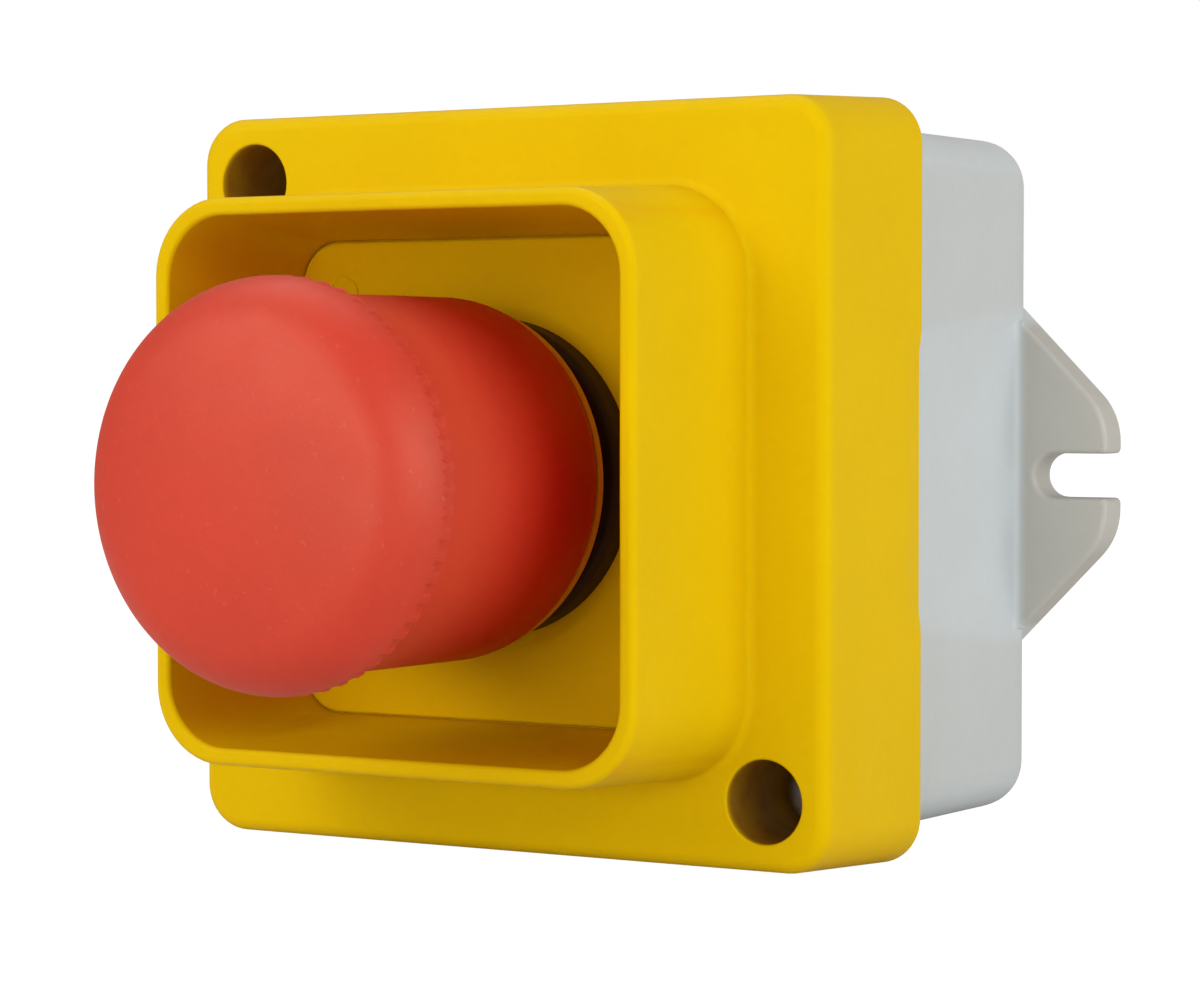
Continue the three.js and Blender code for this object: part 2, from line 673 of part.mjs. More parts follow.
function ringNut() {
  const { radius, height, edge, grips, gripRadius } = RING_NUT;
  const front = PLATE_REAR_Z - FIT;
  const rear = front - height;
  const bore = BARREL_RADIUS + RUNNING_FIT;
  const profile = [
    [bore, rear],
    [radius - edge, rear],
    [radius, rear + edge],
    [radius, front],
    [bore, front],
  ];
  let nut = turnedRing(profile, 32);
  for (let i = 0; i < grips; i += 1) {
    const angle = (i / grips) * 2 * Math.PI;
    const x = (radius + gripRadius / 2) * Math.cos(angle);
    const y = (radius + gripRadius / 2) * Math.sin(angle);
    nut = nut.subtract(rod(gripRadius, rear - OVERCUT, front + OVERCUT, 8, x, y));
  }
  return named('ring_nut', nut, DARK_GREY_PLASTIC);
}

// ---------------------------------------------------------------- stem and head

function pushStem() {
  const grooveRadius = STEM_TAIL_RADIUS - CLIP.groove;
  const grooveRear = CLIP.rear - RUNNING_FIT;
  const grooveFront = CLIP.rear + CLIP.thickness + RUNNING_FIT;
  const profile = [
    [0, STEM_REAR_Z],
    [STEM_TAIL_RADIUS - CHAMFER, STEM_REAR_Z],
    [STEM_TAIL_RADIUS, STEM_REAR_Z + CHAMFER],
    [STEM_TAIL_RADIUS, grooveRear],
    [grooveRadius, grooveRear],
    [grooveRadius, grooveFront],
    [STEM_TAIL_RADIUS, grooveFront],
    [STEM_TAIL_RADIUS, STEM_SHOULDER_Z],
    [STEM_RADIUS, STEM_SHOULDER_Z],
    [STEM_RADIUS, SPIGOT_Z],
    [STEM_TAIL_RADIUS, SPIGOT_Z],
    [STEM_TAIL_RADIUS, STEM_FRONT_Z - CHAMFER],
    [STEM_TAIL_RADIUS - CHAMFER, STEM_FRONT_Z],
    [0, STEM_FRONT_Z],
  ];
  return named('push_stem', turned(profile, 28), BLACK_PLASTIC);
}

// A C-shaped clip that snaps into the stem's groove and stops it behind the barrel.
function stemClip() {
  const inner = STEM_TAIL_RADIUS - CLIP.groove + RUNNING_FIT;
  const mouth = CLIP.mouthAngle;
  const shape = new THREE.Shape();
  shape.absarc(0, 0, CLIP.outer, mouth, 2 * Math.PI - mouth, false);
  shape.absarc(0, 0, inner, 2 * Math.PI - mouth, mouth, true);
  shape.closePath();
  const settings = { depth: CLIP.thickness, bevelEnabled: false, curveSegments: 8 };
  const geometry = new THREE.ExtrudeGeometry(shape, settings);
  geometry.translate(0, 0, CLIP.rear);
  return named('stem_clip', toSolid(geometry), SPRING_STEEL);
}

function returnSpring() {
  const rear = BARREL_REAR_Z + BARREL_FLANGE + 2 * FIT;
  return named('return_spring', coil(RETURN_SPRING, rear, STEM_SHOULDER_Z - FIT), SPRING_STEEL);
}

// The straight neck under the cap, with a hub that turns on the stem's spigot.
function neckSkirt() {
  const bore = STEM_TAIL_RADIUS + RUNNING_FIT;
  const inside = NECK_RADIUS - NECK_WALL;
  const hubRear = SPIGOT_Z + 2 * FIT;
  const profile = [
    [inside, NECK_REAR_Z],
    [NECK_RADIUS - NECK_REAR_EDGE, NECK_REAR_Z],
    [NECK_RADIUS - 0.3 * NECK_REAR_EDGE, NECK_REAR_Z + 0.3 * NECK_REAR_EDGE],
    [NECK_RADIUS, NECK_REAR_Z + NECK_REAR_EDGE],
    [NECK_RADIUS, NECK_FRONT_Z - NECK_FRONT_EDGE],
    [NECK_RADIUS - NECK_FRONT_EDGE, NECK_FRONT_Z],
    [NECK_SPIGOT.outer, NECK_FRONT_Z],
    [NECK_SPIGOT.outer, NECK_FRONT_Z + NECK_SPIGOT.height],
    [NECK_SPIGOT.inner, NECK_FRONT_Z + NECK_SPIGOT.height],
    [NECK_SPIGOT.inner, NECK_WEB.front],
    [bore, NECK_WEB.front],
    [bore, hubRear],
    [NECK_HUB_RADIUS, hubRear],
    [NECK_HUB_RADIUS, NECK_WEB.rear],
    [inside, NECK_WEB.rear],
  ];
  return named('neck_skirt', turnedRing(profile, 40), DARK_RED_PLASTIC);
}

// The coloured ring behind the neck's rim, held by a sleeve inside the neck.
function indicatorRing() {
  const front = NECK_REAR_Z - FIT;
  const rear = front - RING_HEIGHT;
  const sleeveOuter = NECK_RADIUS - NECK_WALL - FIT;
  const sleeveInner = sleeveOuter - RING_SLEEVE.wall;
  const profile = [
    [RING_BORE, rear],
    [RING_RADIUS - RING_EDGE, rear],
    [RING_RADIUS, rear + RING_EDGE],
    [RING_RADIUS, front],
    [sleeveOuter, front],
    [sleeveOuter, front + RING_SLEEVE.height],
    [sleeveInner, front + RING_SLEEVE.height],
    [sleeveInner, front],
    [RING_BORE, front],
  ];
  return named('indicator_ring', turnedRing(profile, 36), ORANGE_PLASTIC);
}

// The cap's shoulder and dome up to the apex, as [radius, z], set in from its outside.
function capProfile(inset) {
  const shoulderCentre = CAP_RADIUS - CAP_SHOULDER;
  const centreDistance = CAP_DOME_RADIUS - CAP_SHOULDER;
  const domeCentreZ = CAP_FRONT_Z - CAP_DOME_RADIUS;
  const lean = Math.asin(shoulderCentre / centreDistance);
  const shoulderZ = domeCentreZ + centreDistance * Math.cos(lean);
  const shoulderSteps = 4;
  const domeSteps = 3;
  const points = [];
  for (let i = 0; i <= shoulderSteps; i += 1) {
    const radius = CAP_SHOULDER - inset;
    const angle = (i / shoulderSteps) * (Math.PI / 2 - lean);
    points.push([shoulderCentre + radius * Math.cos(angle), shoulderZ + radius * Math.sin(angle)]);
  }
  for (let i = 1; i <= domeSteps; i += 1) {
    const radius = CAP_DOME_RADIUS - inset;
    const angle = lean * (1 - i / domeSteps);
    points.push([radius * Math.sin(angle), domeCentreZ + radius * Math.cos(angle)]);
  }
  return points;
}

// The space inside the cap, which the neck's spigot enters.
function capHollow() {
  const ceiling = capProfile(CAP_WALL).filter(([radius]) => radius < CAP_BORE);
  const profile = [
    [0, CAP_REAR_Z - OVERCUT],
    [CAP_BORE, CAP_REAR_Z - OVERCUT],
    [CAP_BORE, ceiling[0][1] - CHAMFER],
    ...ceiling,
  ];
  return turned(profile, CAP_NOTCHES / 2);
}

function mushroomCap() {
  const outline = [[0, CAP_REAR_Z], [CAP_REAR_RADIUS, CAP_REAR_Z], ...capProfile(0)];
  let cap = turned(outline, CAP_NOTCHES).subtract(capHollow());
  for (let i = 0; i < CAP_NOTCHES; i += 1) {
    const notch = new THREE.BoxGeometry(CAP_NOTCH.length, CAP_NOTCH.width, CAP_NOTCH.height);
    notch.translate(CAP_REAR_RADIUS + CAP_NOTCH.outwards, 0, CAP_REAR_Z);
    notch.rotateZ((i / CAP_NOTCHES) * 2 * Math.PI);
    cap = cap.subtract(toSolid(notch));
  }
  return named('mushroom_cap', cap, RED_PLASTIC);
}

// ---------------------------------------------------------------- contact carrier and blocks

// The square collar on the barrel's rear end that the contact blocks clip to.
function contactCarrier() {
  const half = CARRIER_HALF;
  const open = CARRIER_FRONT_Z + OVERCUT;
  let carrier = squareStack([
    { z: CARRIER_REAR_Z, half, corner: CARRIER_CORNER },
    { z: CARRIER_FRONT_Z, half, corner: CARRIER_CORNER },
  ], 1);
  carrier = carrier.subtract(rod(BARREL_RADIUS + FIT, BARREL_REAR_Z, open, 32));
  carrier = carrier.subtract(rod(CARRIER_BORE, CARRIER_REAR_Z - OVERCUT, open, 28));

  const notchX = [-BLOCK_X - BLOCK_HALF_X, BLOCK_X + BLOCK_HALF_X];
  const notchZ = [HOOK.catchZ - CLEARANCE, HOOK.frontZ + CLEARANCE];
  for (const side of [-1, 1]) {
    const notchY = sided(side, half - HOOK.reach, half + OVERCUT);
    carrier = carrier.subtract(block(notchX, notchY, notchZ));
  }

  const holeRadius = LOCK_SCREW.radius + RUNNING_FIT;
  const hole = new THREE.CylinderGeometry(holeRadius, holeRadius, 6, 16);
  hole.translate(0, half, LOCK_SCREW.z);
  return named('contact_carrier', carrier.subtract(toSolid(hole)), DARK_GREY_PLASTIC);
}

// The slotted grub screw that locks the carrier to the barrel, from above.
function carrierLockScrew() {
  const { radius, length, slotHalf, slotDepth } = LOCK_SCREW;
  const profile = [
    [0, 0],
    [radius - CHAMFER, 0],
    [radius, CHAMFER],
    [radius, length],
    [0, length],
  ];
  const slotZ = [length - slotDepth, length + OVERCUT];
  const slot = block([-radius - FIT, radius + FIT], [-slotHalf, slotHalf], slotZ);
  const screw = named('carrier_lock_screw', turned(profile, 16).subtract(slot), ZINC_STEEL);
  screw.rotation.x = -Math.PI / 2;
  screw.position.set(0, BARREL_RADIUS + 2 * FIT, LOCK_SCREW.z);
  return screw;
}

// The hook that clips a block to the carrier.
function snapHook(side) {
  const near = CARRIER_HALF + CLEARANCE;
  const far = near + HOOK.thickness;
  const x = [-HOOK.half, HOOK.half];
  const leg = block(x, sided(side, near, far), [BLOCK_FRONT_Z - OVERCUT, HOOK.frontZ]);
  return leg.add(block(x, sided(side, near - HOOK.reach, far), [HOOK.catchZ, HOOK.frontZ]));
}

// A block's case, open towards -x, with a wire entry and a screwdriver hole at each end.
function blockHousing(name) {
  const x = BLOCK_HALF_X;
  const insideY = BLOCK_HALF_Y - BLOCK_WALL;
  const insideX = [-x - OVERCUT, x - BLOCK_WALL];
  const ceiling = [BLOCK_CEILING_Z - OVERCUT, BLOCK_FRONT_Z + OVERCUT];
  const entryX = [-WIRE_ENTRY.half, WIRE_ENTRY.half];
  const entryZ = [WIRE_ENTRY.rear, WIRE_ENTRY.front];
  const accessRadius = TERMINAL_SCREW.headRadius + CLEARANCE;
  let housing = block([-x, x], [-BLOCK_HALF_Y, BLOCK_HALF_Y], [BLOCK_REAR_Z, BLOCK_FRONT_Z]);
  housing = housing.subtract(block(insideX, [-insideY, insideY], [BLOCK_FLOOR_Z, BLOCK_CEILING_Z]));
  housing = housing.subtract(rod(PLUNGER_RADIUS + FIT, ...ceiling, 20, PLUNGER_X));
  for (const side of [-1, 1]) {
    const entryY = sided(side, insideY - OVERCUT, BLOCK_HALF_Y + OVERCUT);
    housing = housing.subtract(block(entryX, entryY, entryZ));
    housing = housing.subtract(rod(accessRadius, ...ceiling, 20, 0, side * TERMINAL_Y));
    housing = housing.add(snapHook(side));
  }
  return named(`contact_block_${name}`, housing, DARK_GREY_PLASTIC);
}

// The plate that closes the open side of a block's case.
function blockCover(name) {
  const halfY = BLOCK_HALF_Y - BLOCK_WALL - FIT;
  const x = [-BLOCK_HALF_X, -BLOCK_HALF_X + BLOCK_WALL - FIT];
  const z = [BLOCK_FLOOR_Z + FIT, BLOCK_CEILING_Z - FIT];
  return named(`block_cover_${name}`, block(x, [-halfY, halfY], z), DARK_GREY_PLASTIC);
}

function blockPlunger(name) {
  const rear = BRIDGE.z + STRIP_THICKNESS + FIT;
  const front = STEM_REAR_Z - FIT;
  const { radius: flangeRadius, rear: flangeRear, front: flangeFront } = PLUNGER_FLANGE;
  const profile = [
    [0, rear],
    [PLUNGER_RADIUS - CHAMFER, rear],
    [PLUNGER_RADIUS - CHAMFER, flangeRear],
    [flangeRadius, flangeRear],
    [flangeRadius, flangeFront],
    [PLUNGER_RADIUS, flangeFront],
    [PLUNGER_RADIUS, front - CHAMFER],
    [PLUNGER_RADIUS - CHAMFER, front],
    [0, front],
  ];
  const plunger = named(`plunger_${name}`, turned(profile, 14), GREEN_PLASTIC);
  plunger.position.x = PLUNGER_X;
  return plunger;
}

function contactBridge(name) {
  const front = BRIDGE.z + STRIP_THICKNESS;
  let bridge = block([-BRIDGE.halfX, BRIDGE.halfX], [-BRIDGE.halfY, BRIDGE.halfY], [BRIDGE.z, front]);
  for (const side of [-1, 1]) {
    bridge = bridge.add(rod(TIP.radius, BRIDGE.z, front + TIP.height, 12, 0, side * CONTACT_Y));
  }
  const mesh = named(`contact_bridge_${name}`, bridge, BRASS);
  mesh.position.x = PLUNGER_X;
  return mesh;
}

// The strip from a terminal screw to the contact tip that faces the bridge.
function fixedContact(name, side) {
  const { half, near, far, z } = STRIP;
  const front = z + STRIP_THICKNESS;
  const holeRadius = TERMINAL_SCREW.shankRadius + FIT;
  const tipRear = BRIDGE.z + STRIP_THICKNESS + TIP.height + FIT;
  const strip = block([-half, half], sided(side, near, far), [z, front]);
  const tip = rod(TIP.radius, tipRear, front, 12, PLUNGER_X, side * CONTACT_Y);
  const hole = rod(holeRadius, z - OVERCUT, front + OVERCUT, 16, 0, side * TERMINAL_Y);
  return named(name, strip.add(tip).subtract(hole), BRASS);
}

// One contact block on its own z axis.
function contactBlock(name) {
  const wound = coil(CONTACT_SPRING, BLOCK_FLOOR_Z + FIT, BRIDGE.z - FIT);
  const spring = named(`contact_spring_${name}`, wound, SPRING_STEEL);
  spring.position.x = PLUNGER_X;
  const assembly = new THREE.Group();
  assembly.add(blockHousing(name), blockCover(name), blockPlunger(name), contactBridge(name), spring);
  for (const [end, side] of [['top', 1], ['bottom', -1]]) {
    const screw = named(`terminal_screw_${name}_${end}`, crossScrew(TERMINAL_SCREW, 12), ZINC_STEEL);
    screw.position.set(0, side * TERMINAL_Y, STRIP.z + STRIP_THICKNESS + FIT);
    assembly.add(fixedContact(`fixed_contact_${name}_${end}`, side), screw);
  }
  return assembly;
}

// ---------------------------------------------------------------- assembly

const leftBlock = contactBlock('left');
leftBlock.position.x = -BLOCK_X;
const rightBlock = contactBlock('right');
rightBlock.position.x = BLOCK_X;
rightBlock.rotation.z = Math.PI;

const device = new THREE.Group();
device.add(actuatorBody(), bezelSeal(), stemSeal(), ringNut());
device.add(pushStem(), stemClip(), returnSpring());
device.add(neckSkirt(), indicatorRing(), mushroomCap());
device.add(contactCarrier(), carrierLockScrew());
device.add(leftBlock, rightBlock);
device.position.y = DEVICE_RISE;

const panel = new THREE.Group();
panel.add(rearBase(), frontCover(), coverGasket());
panel.add(coverFastener('upper_left', -SCREW_OFFSET, SCREW_OFFSET));
panel.add(coverFastener('lower_right', SCREW_OFFSET, -SCREW_OFFSET));
panel.add(device);
panel.rotation.x = Math.PI / 2;

const group = new THREE.Group();
group.add(panel);

export default group;
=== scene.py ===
import json
import math

import bmesh
import bpy
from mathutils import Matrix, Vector


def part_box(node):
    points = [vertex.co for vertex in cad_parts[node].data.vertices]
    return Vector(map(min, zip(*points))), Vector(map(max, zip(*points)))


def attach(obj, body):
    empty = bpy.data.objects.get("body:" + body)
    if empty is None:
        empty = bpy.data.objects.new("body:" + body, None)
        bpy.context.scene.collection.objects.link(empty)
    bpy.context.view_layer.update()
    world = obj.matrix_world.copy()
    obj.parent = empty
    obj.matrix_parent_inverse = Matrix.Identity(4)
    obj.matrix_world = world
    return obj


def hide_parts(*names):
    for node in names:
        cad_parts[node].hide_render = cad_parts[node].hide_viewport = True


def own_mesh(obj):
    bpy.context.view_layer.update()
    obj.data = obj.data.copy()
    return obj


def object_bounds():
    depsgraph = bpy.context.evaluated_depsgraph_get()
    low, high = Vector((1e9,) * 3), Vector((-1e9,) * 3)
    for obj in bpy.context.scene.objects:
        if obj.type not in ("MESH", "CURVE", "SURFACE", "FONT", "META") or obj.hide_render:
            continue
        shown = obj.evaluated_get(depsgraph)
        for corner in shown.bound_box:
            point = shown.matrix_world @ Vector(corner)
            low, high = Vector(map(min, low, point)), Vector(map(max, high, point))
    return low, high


# Everything is drawn in the panel frame, in millimetres: x to the right, y up, z out of the wall.
# place() turns that into the CAD model's frame, in metres, where the user stands at -Y.

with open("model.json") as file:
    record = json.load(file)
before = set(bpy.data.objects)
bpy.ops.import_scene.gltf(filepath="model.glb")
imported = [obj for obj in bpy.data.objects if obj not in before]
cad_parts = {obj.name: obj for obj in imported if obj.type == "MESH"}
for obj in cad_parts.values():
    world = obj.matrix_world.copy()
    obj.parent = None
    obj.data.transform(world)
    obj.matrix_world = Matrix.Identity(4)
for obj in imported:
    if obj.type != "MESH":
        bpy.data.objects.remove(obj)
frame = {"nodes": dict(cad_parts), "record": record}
cad_low, cad_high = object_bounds()
MM = 0.001


def place(x, y, z):
    return (x * MM, -z * MM, y * MM)


def span(node):
    """A CAD node's box in the panel frame: its half width, rear z and front z, in millimetres."""
    low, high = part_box(node)
    return high.x / MM, -high.y / MM, -low.y / MM


def middle_height(node):
    """The height of a node's middle in the panel frame, in millimetres."""
    low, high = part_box(node)
    return (low.z + high.z) / 2 / MM


# ---------------------------------------------------------------- dimensions, in millimetres

# The cover. EJECTOR_MARK is a place (x, y). The other pairs are the half width and the corner
# radius of a rounded square.
COVER_HALF, PARTING_Z, RIM_Z = span("front_cover")
FACE_Z = 50.0
COVER_HALF_FRONT = 36.75
COVER_CORNER = 4.7
COVER_EDGE = 1.4
COVER_STEP = 0.25
COVER_STEP_HALF = 12.4
COVER_STEP_RUN = 2.4
COVER_REBATE = (35.2, 5.2)
COVER_HOLLOW = (33.2, 4.9)
COLLAR_BASE = (28.4, 8.6)
COLLAR_RIM = (27.55, 7.6)
COLLAR_FOOT = 0.8
RIM_OUTER_ROUND = 0.75
RIM_INNER_ROUND = 0.5
POCKET_FLOOR = (24.0, 4.6)
POCKET_RIM = (25.8, 6.4)
GUTTER_DEPTH = 0.5
GUTTER_WIDTH = 0.15
FLOOR_EDGE = 0.45
EJECTOR_MARK = (-18.5, 18.6)
PANEL_HOLE_RADIUS = 11.15
PAST_FACE_Z = FACE_Z + 1.0

# The screws, and their wells in the cover.
SCREW_OFFSET = 30.0
WELL_RADIUS = 4.03
WELL_SEAT_Z = 36.7
WELL_MOUTH = 0.3
WELL_COLUMN_RADIUS = 5.2
WELL_COLUMN_Z = 33.0
SCREW_HOLE_RADIUS = 2.3

# The wall box, its lugs and the shallow scoop in each side.
BASE_HALF = 34.9
BASE_CORNER = 4.9
BASE_REAR_ROUND = 4.5
BASE_RIM_Z = 36.0
CAVITY = (32.4, 3.9)
CAVITY_FLOOR_Z = 3.0
SCOOP_DEPTH = 0.6
SCOOP_HALF_REAR = 15.6
SCOOP_HALF_FRONT = 12.6
SCOOP_RUN = 3.0
SCREW_COLUMN_RADIUS = 8.0
KNOCKOUT_Z = 17.0
LUG_Z = 4.0
LUG_TIP_X = span("rear_base")[0]
LUG_ROOT_HALF = 16.0
LUG_TIP_RADIUS = 7.0
SLOT_HALF = 2.3
SLOT_X = 38.75

# The head and the actuator.
DEVICE_Y = middle_height("neck_skirt")
CAP_RADIUS = 19.0
CAP_REAR_Z, CAP_FRONT_Z = span("mushroom_cap")[1:]
NOTCHES = 58
PIT_DEPTH = 0.85
LIP_SWELL = 0.08
LIP_NOTCH = 0.18
# How much painted shade the pits in the cap's edge get.
PIT_SHADE = 0.9
NECK_RADIUS = span("neck_skirt")[0]
NECK_WALL = 2.5
NECK_REAR_Z = 58.8
NECK_FRONT_Z = 85.5
NECK_REAR_ROUND = 1.4
STEM_HOLE_RADIUS = 6.05
RING_RADIUS = span("indicator_ring")[0]
BEZEL_RADIUS = span("actuator_body")[0]

# ---------------------------------------------------------------- mesh building

CORNER_STEPS = 12

# The points along half of a straight side, as shares of its length. They are closest together where
# the dips in the side walls end.
HALF_SHARES = [0.15, 0.3, 0.36, 0.39, 0.42, 0.45, 0.48, 0.51, 0.54, 0.57, 0.6, 0.7, 0.85]
SIDE_SHARES = [-share for share in reversed(HALF_SHARES)] + [0.0] + HALF_SHARES


def square_ring(half, corner, z):
    """A rounded square at height z, anticlockwise as the user sees it, starting on the right side."""
    flat = half - corner
    ring = []
    for turn in range(4):
        c, s = [(1, 0), (0, 1), (-1, 0), (0, -1)][turn]
        points = [(half, share * flat) for share in SIDE_SHARES]
        for i in range(CORNER_STEPS + 1):
            a = i / CORNER_STEPS * math.pi / 2
            points.append((flat + corner * math.cos(a), flat + corner * math.sin(a)))
        ring += [(c * x - s * y, s * x + c * y, z) for x, y in points]
    return ring


def arc(centre_r, centre_z, radius, start, end, steps):
    """Points (r, z) of an arc, its angles in degrees from the +r direction towards +z."""
    points = []
    for i in range(steps + 1):
        a = math.radians(start + (end - start) * i / steps)
        points.append((centre_r + radius * math.cos(a), centre_z + radius * math.sin(a)))
    return points


def new_object(name, vertices, faces):
    mesh = bpy.data.meshes.new(name)
    mesh.from_pydata([place(*v) for v in vertices], [], faces)
    mesh.validate()
    obj = bpy.data.objects.new(name, mesh)
    bpy.context.scene.collection.objects.link(obj)
    return obj


def loft(name, rings):
    """A skin over rings of equal length, with its two ends capped."""
    count = len(rings[0])
    vertices = [p for ring in rings for p in ring]
    faces = []
    for r in range(len(rings) - 1):
        a, b = r * count, (r + 1) * count
        for i in range(count):
            j = (i + 1) % count
            faces.append((a + i, a + j, b + j, b + i))
    faces.append(tuple(reversed(range(count))))
    faces.append(tuple(len(vertices) - count + i for i in range(count)))
    obj = new_object(name, vertices, faces)
    outwards(obj)
    return obj


def outwards(obj):
    """Turns all the faces of a closed mesh outwards."""
    bm = bmesh.new()
    bm.from_mesh(obj.data)
    bmesh.ops.recalc_face_normals(bm, faces=bm.faces)
    if bm.calc_volume(signed=True) < 0:
        bmesh.ops.reverse_faces(bm, faces=bm.faces)
    bm.to_mesh(obj.data)
    bm.free()


def lathe(name, profile, segments, shape=None):
    """A profile of (r, z) points turned about the z axis. Where r is 0 the turn closes to a point.
    shape(r, z, angle) may change each point's radius. A profile that isn't closed by the axis joins
    its last point to its first."""
    vertices, rows = [], []
    for r, z in profile:
        if r < 1e-6:
            rows.append([len(vertices)] * segments)
            vertices.append((0.0, 0.0, z))
            continue
        row = []
        for i in range(segments):
            a = 2 * math.pi * i / segments
            radius = shape(r, z, a) if shape else r
            row.append(len(vertices))
            vertices.append((radius * math.cos(a), radius * math.sin(a), z))
        rows.append(row)
    if profile[0][0] > 1e-6:
        rows.append(rows[0])
    faces = []
    for low, high in zip(rows, rows[1:]):
        for i in range(segments):
            j = (i + 1) % segments
            corners = []
            for v in (low[i], low[j], high[j], high[i]):
                if v not in corners:
                    corners.append(v)
            if len(corners) > 2:
                faces.append(tuple(corners))
    obj = new_object(name, vertices, faces)
    outwards(obj)
    return obj


def prism(name, outline, low, high):
    """An outline of (x, y) points drawn out from z low to z high."""
    count = len(outline)
    vertices = [(x, y, low) for x, y in outline] + [(x, y, high) for x, y in outline]
    faces = [tuple(range(count)), tuple(range(count, 2 * count))]
    faces += [(i, (i + 1) % count, count + (i + 1) % count, count + i) for i in range(count)]
    obj = new_object(name, vertices, faces)
    outwards(obj)
    return obj


def shifted(obj, x, y):
    """The same object, its mesh moved across the panel."""
    move = Vector(place(x, y, 0))
    for v in obj.data.vertices:
        v.co += move
    return obj


def combine(obj, other, operation):
    """Joins other to obj or cuts it out of obj, and removes it."""
    modifier = obj.modifiers.new("combine", "BOOLEAN")
    modifier.operation = operation
    modifier.solver = "EXACT"
    modifier.object = other
    bpy.context.view_layer.update()
    result = obj.evaluated_get(bpy.context.evaluated_depsgraph_get())
    mesh = bpy.data.meshes.new_from_object(result)
    obj.modifiers.clear()
    obj.data = mesh
    bpy.data.objects.remove(other)
    return obj


def cut(obj, *others):
    for other in others:
        combine(obj, other, "DIFFERENCE")


def add(obj, *others):
    for other in others:
        combine(obj, other, "UNION")


def at_screws(make):
    """make() placed at both cover screws."""
    return [
        shifted(make(), -SCREW_OFFSET, SCREW_OFFSET),
        shifted(make(), SCREW_OFFSET, -SCREW_OFFSET),
    ]


def rod(radius, low, high, segments=48):
    return lathe("tool", [(0, low), (radius, low), (radius, high), (0, high)], segments)


def block(square, low, high):
    """A rounded square drawn out from z low to z high, to cut with."""
    return loft("tool", [square_ring(*square, low), square_ring(*square, high)])


def smooth_step(value, low, high):
    t = max(0.0, min(1.0, (value - low) / (high - low)))
    return t * t * (3 - 2 * t)


def mixed(low, high, t):
    return [a + (b - a) * t for a, b in zip(low, high)]


# ---------------------------------------------------------------- materials


# The colour of painted shade, and the tint of warm painted shade.
SHADE_COLOR = (0.28, 0.12, 0.01, 1.0)
WARM_SHADE_TINT = (1.0, 0.5, 0.3, 1.0)

# Where the painted shade on the lugs and on the neck sets in, in metres.
LUG_SHADE_FROM_X = (0.0346, 0.0356)
DEEP_FROM_Y = (-0.080, -0.066)

# How fine each pattern of the plastic is, as noise scales per metre.
CLOUD_SCALE = 70.0
MOTTLE_SCALE = 900.0
DUST_SCALE = 1500.0
SCUFF_SCALE = 240.0
SHADE_PATCH_SCALE = 450.0
GLOSS_SCALE = 160.0
WAVE_SCALE = 55.0


def link(tree, a, b):
    tree.links.new(a, b)


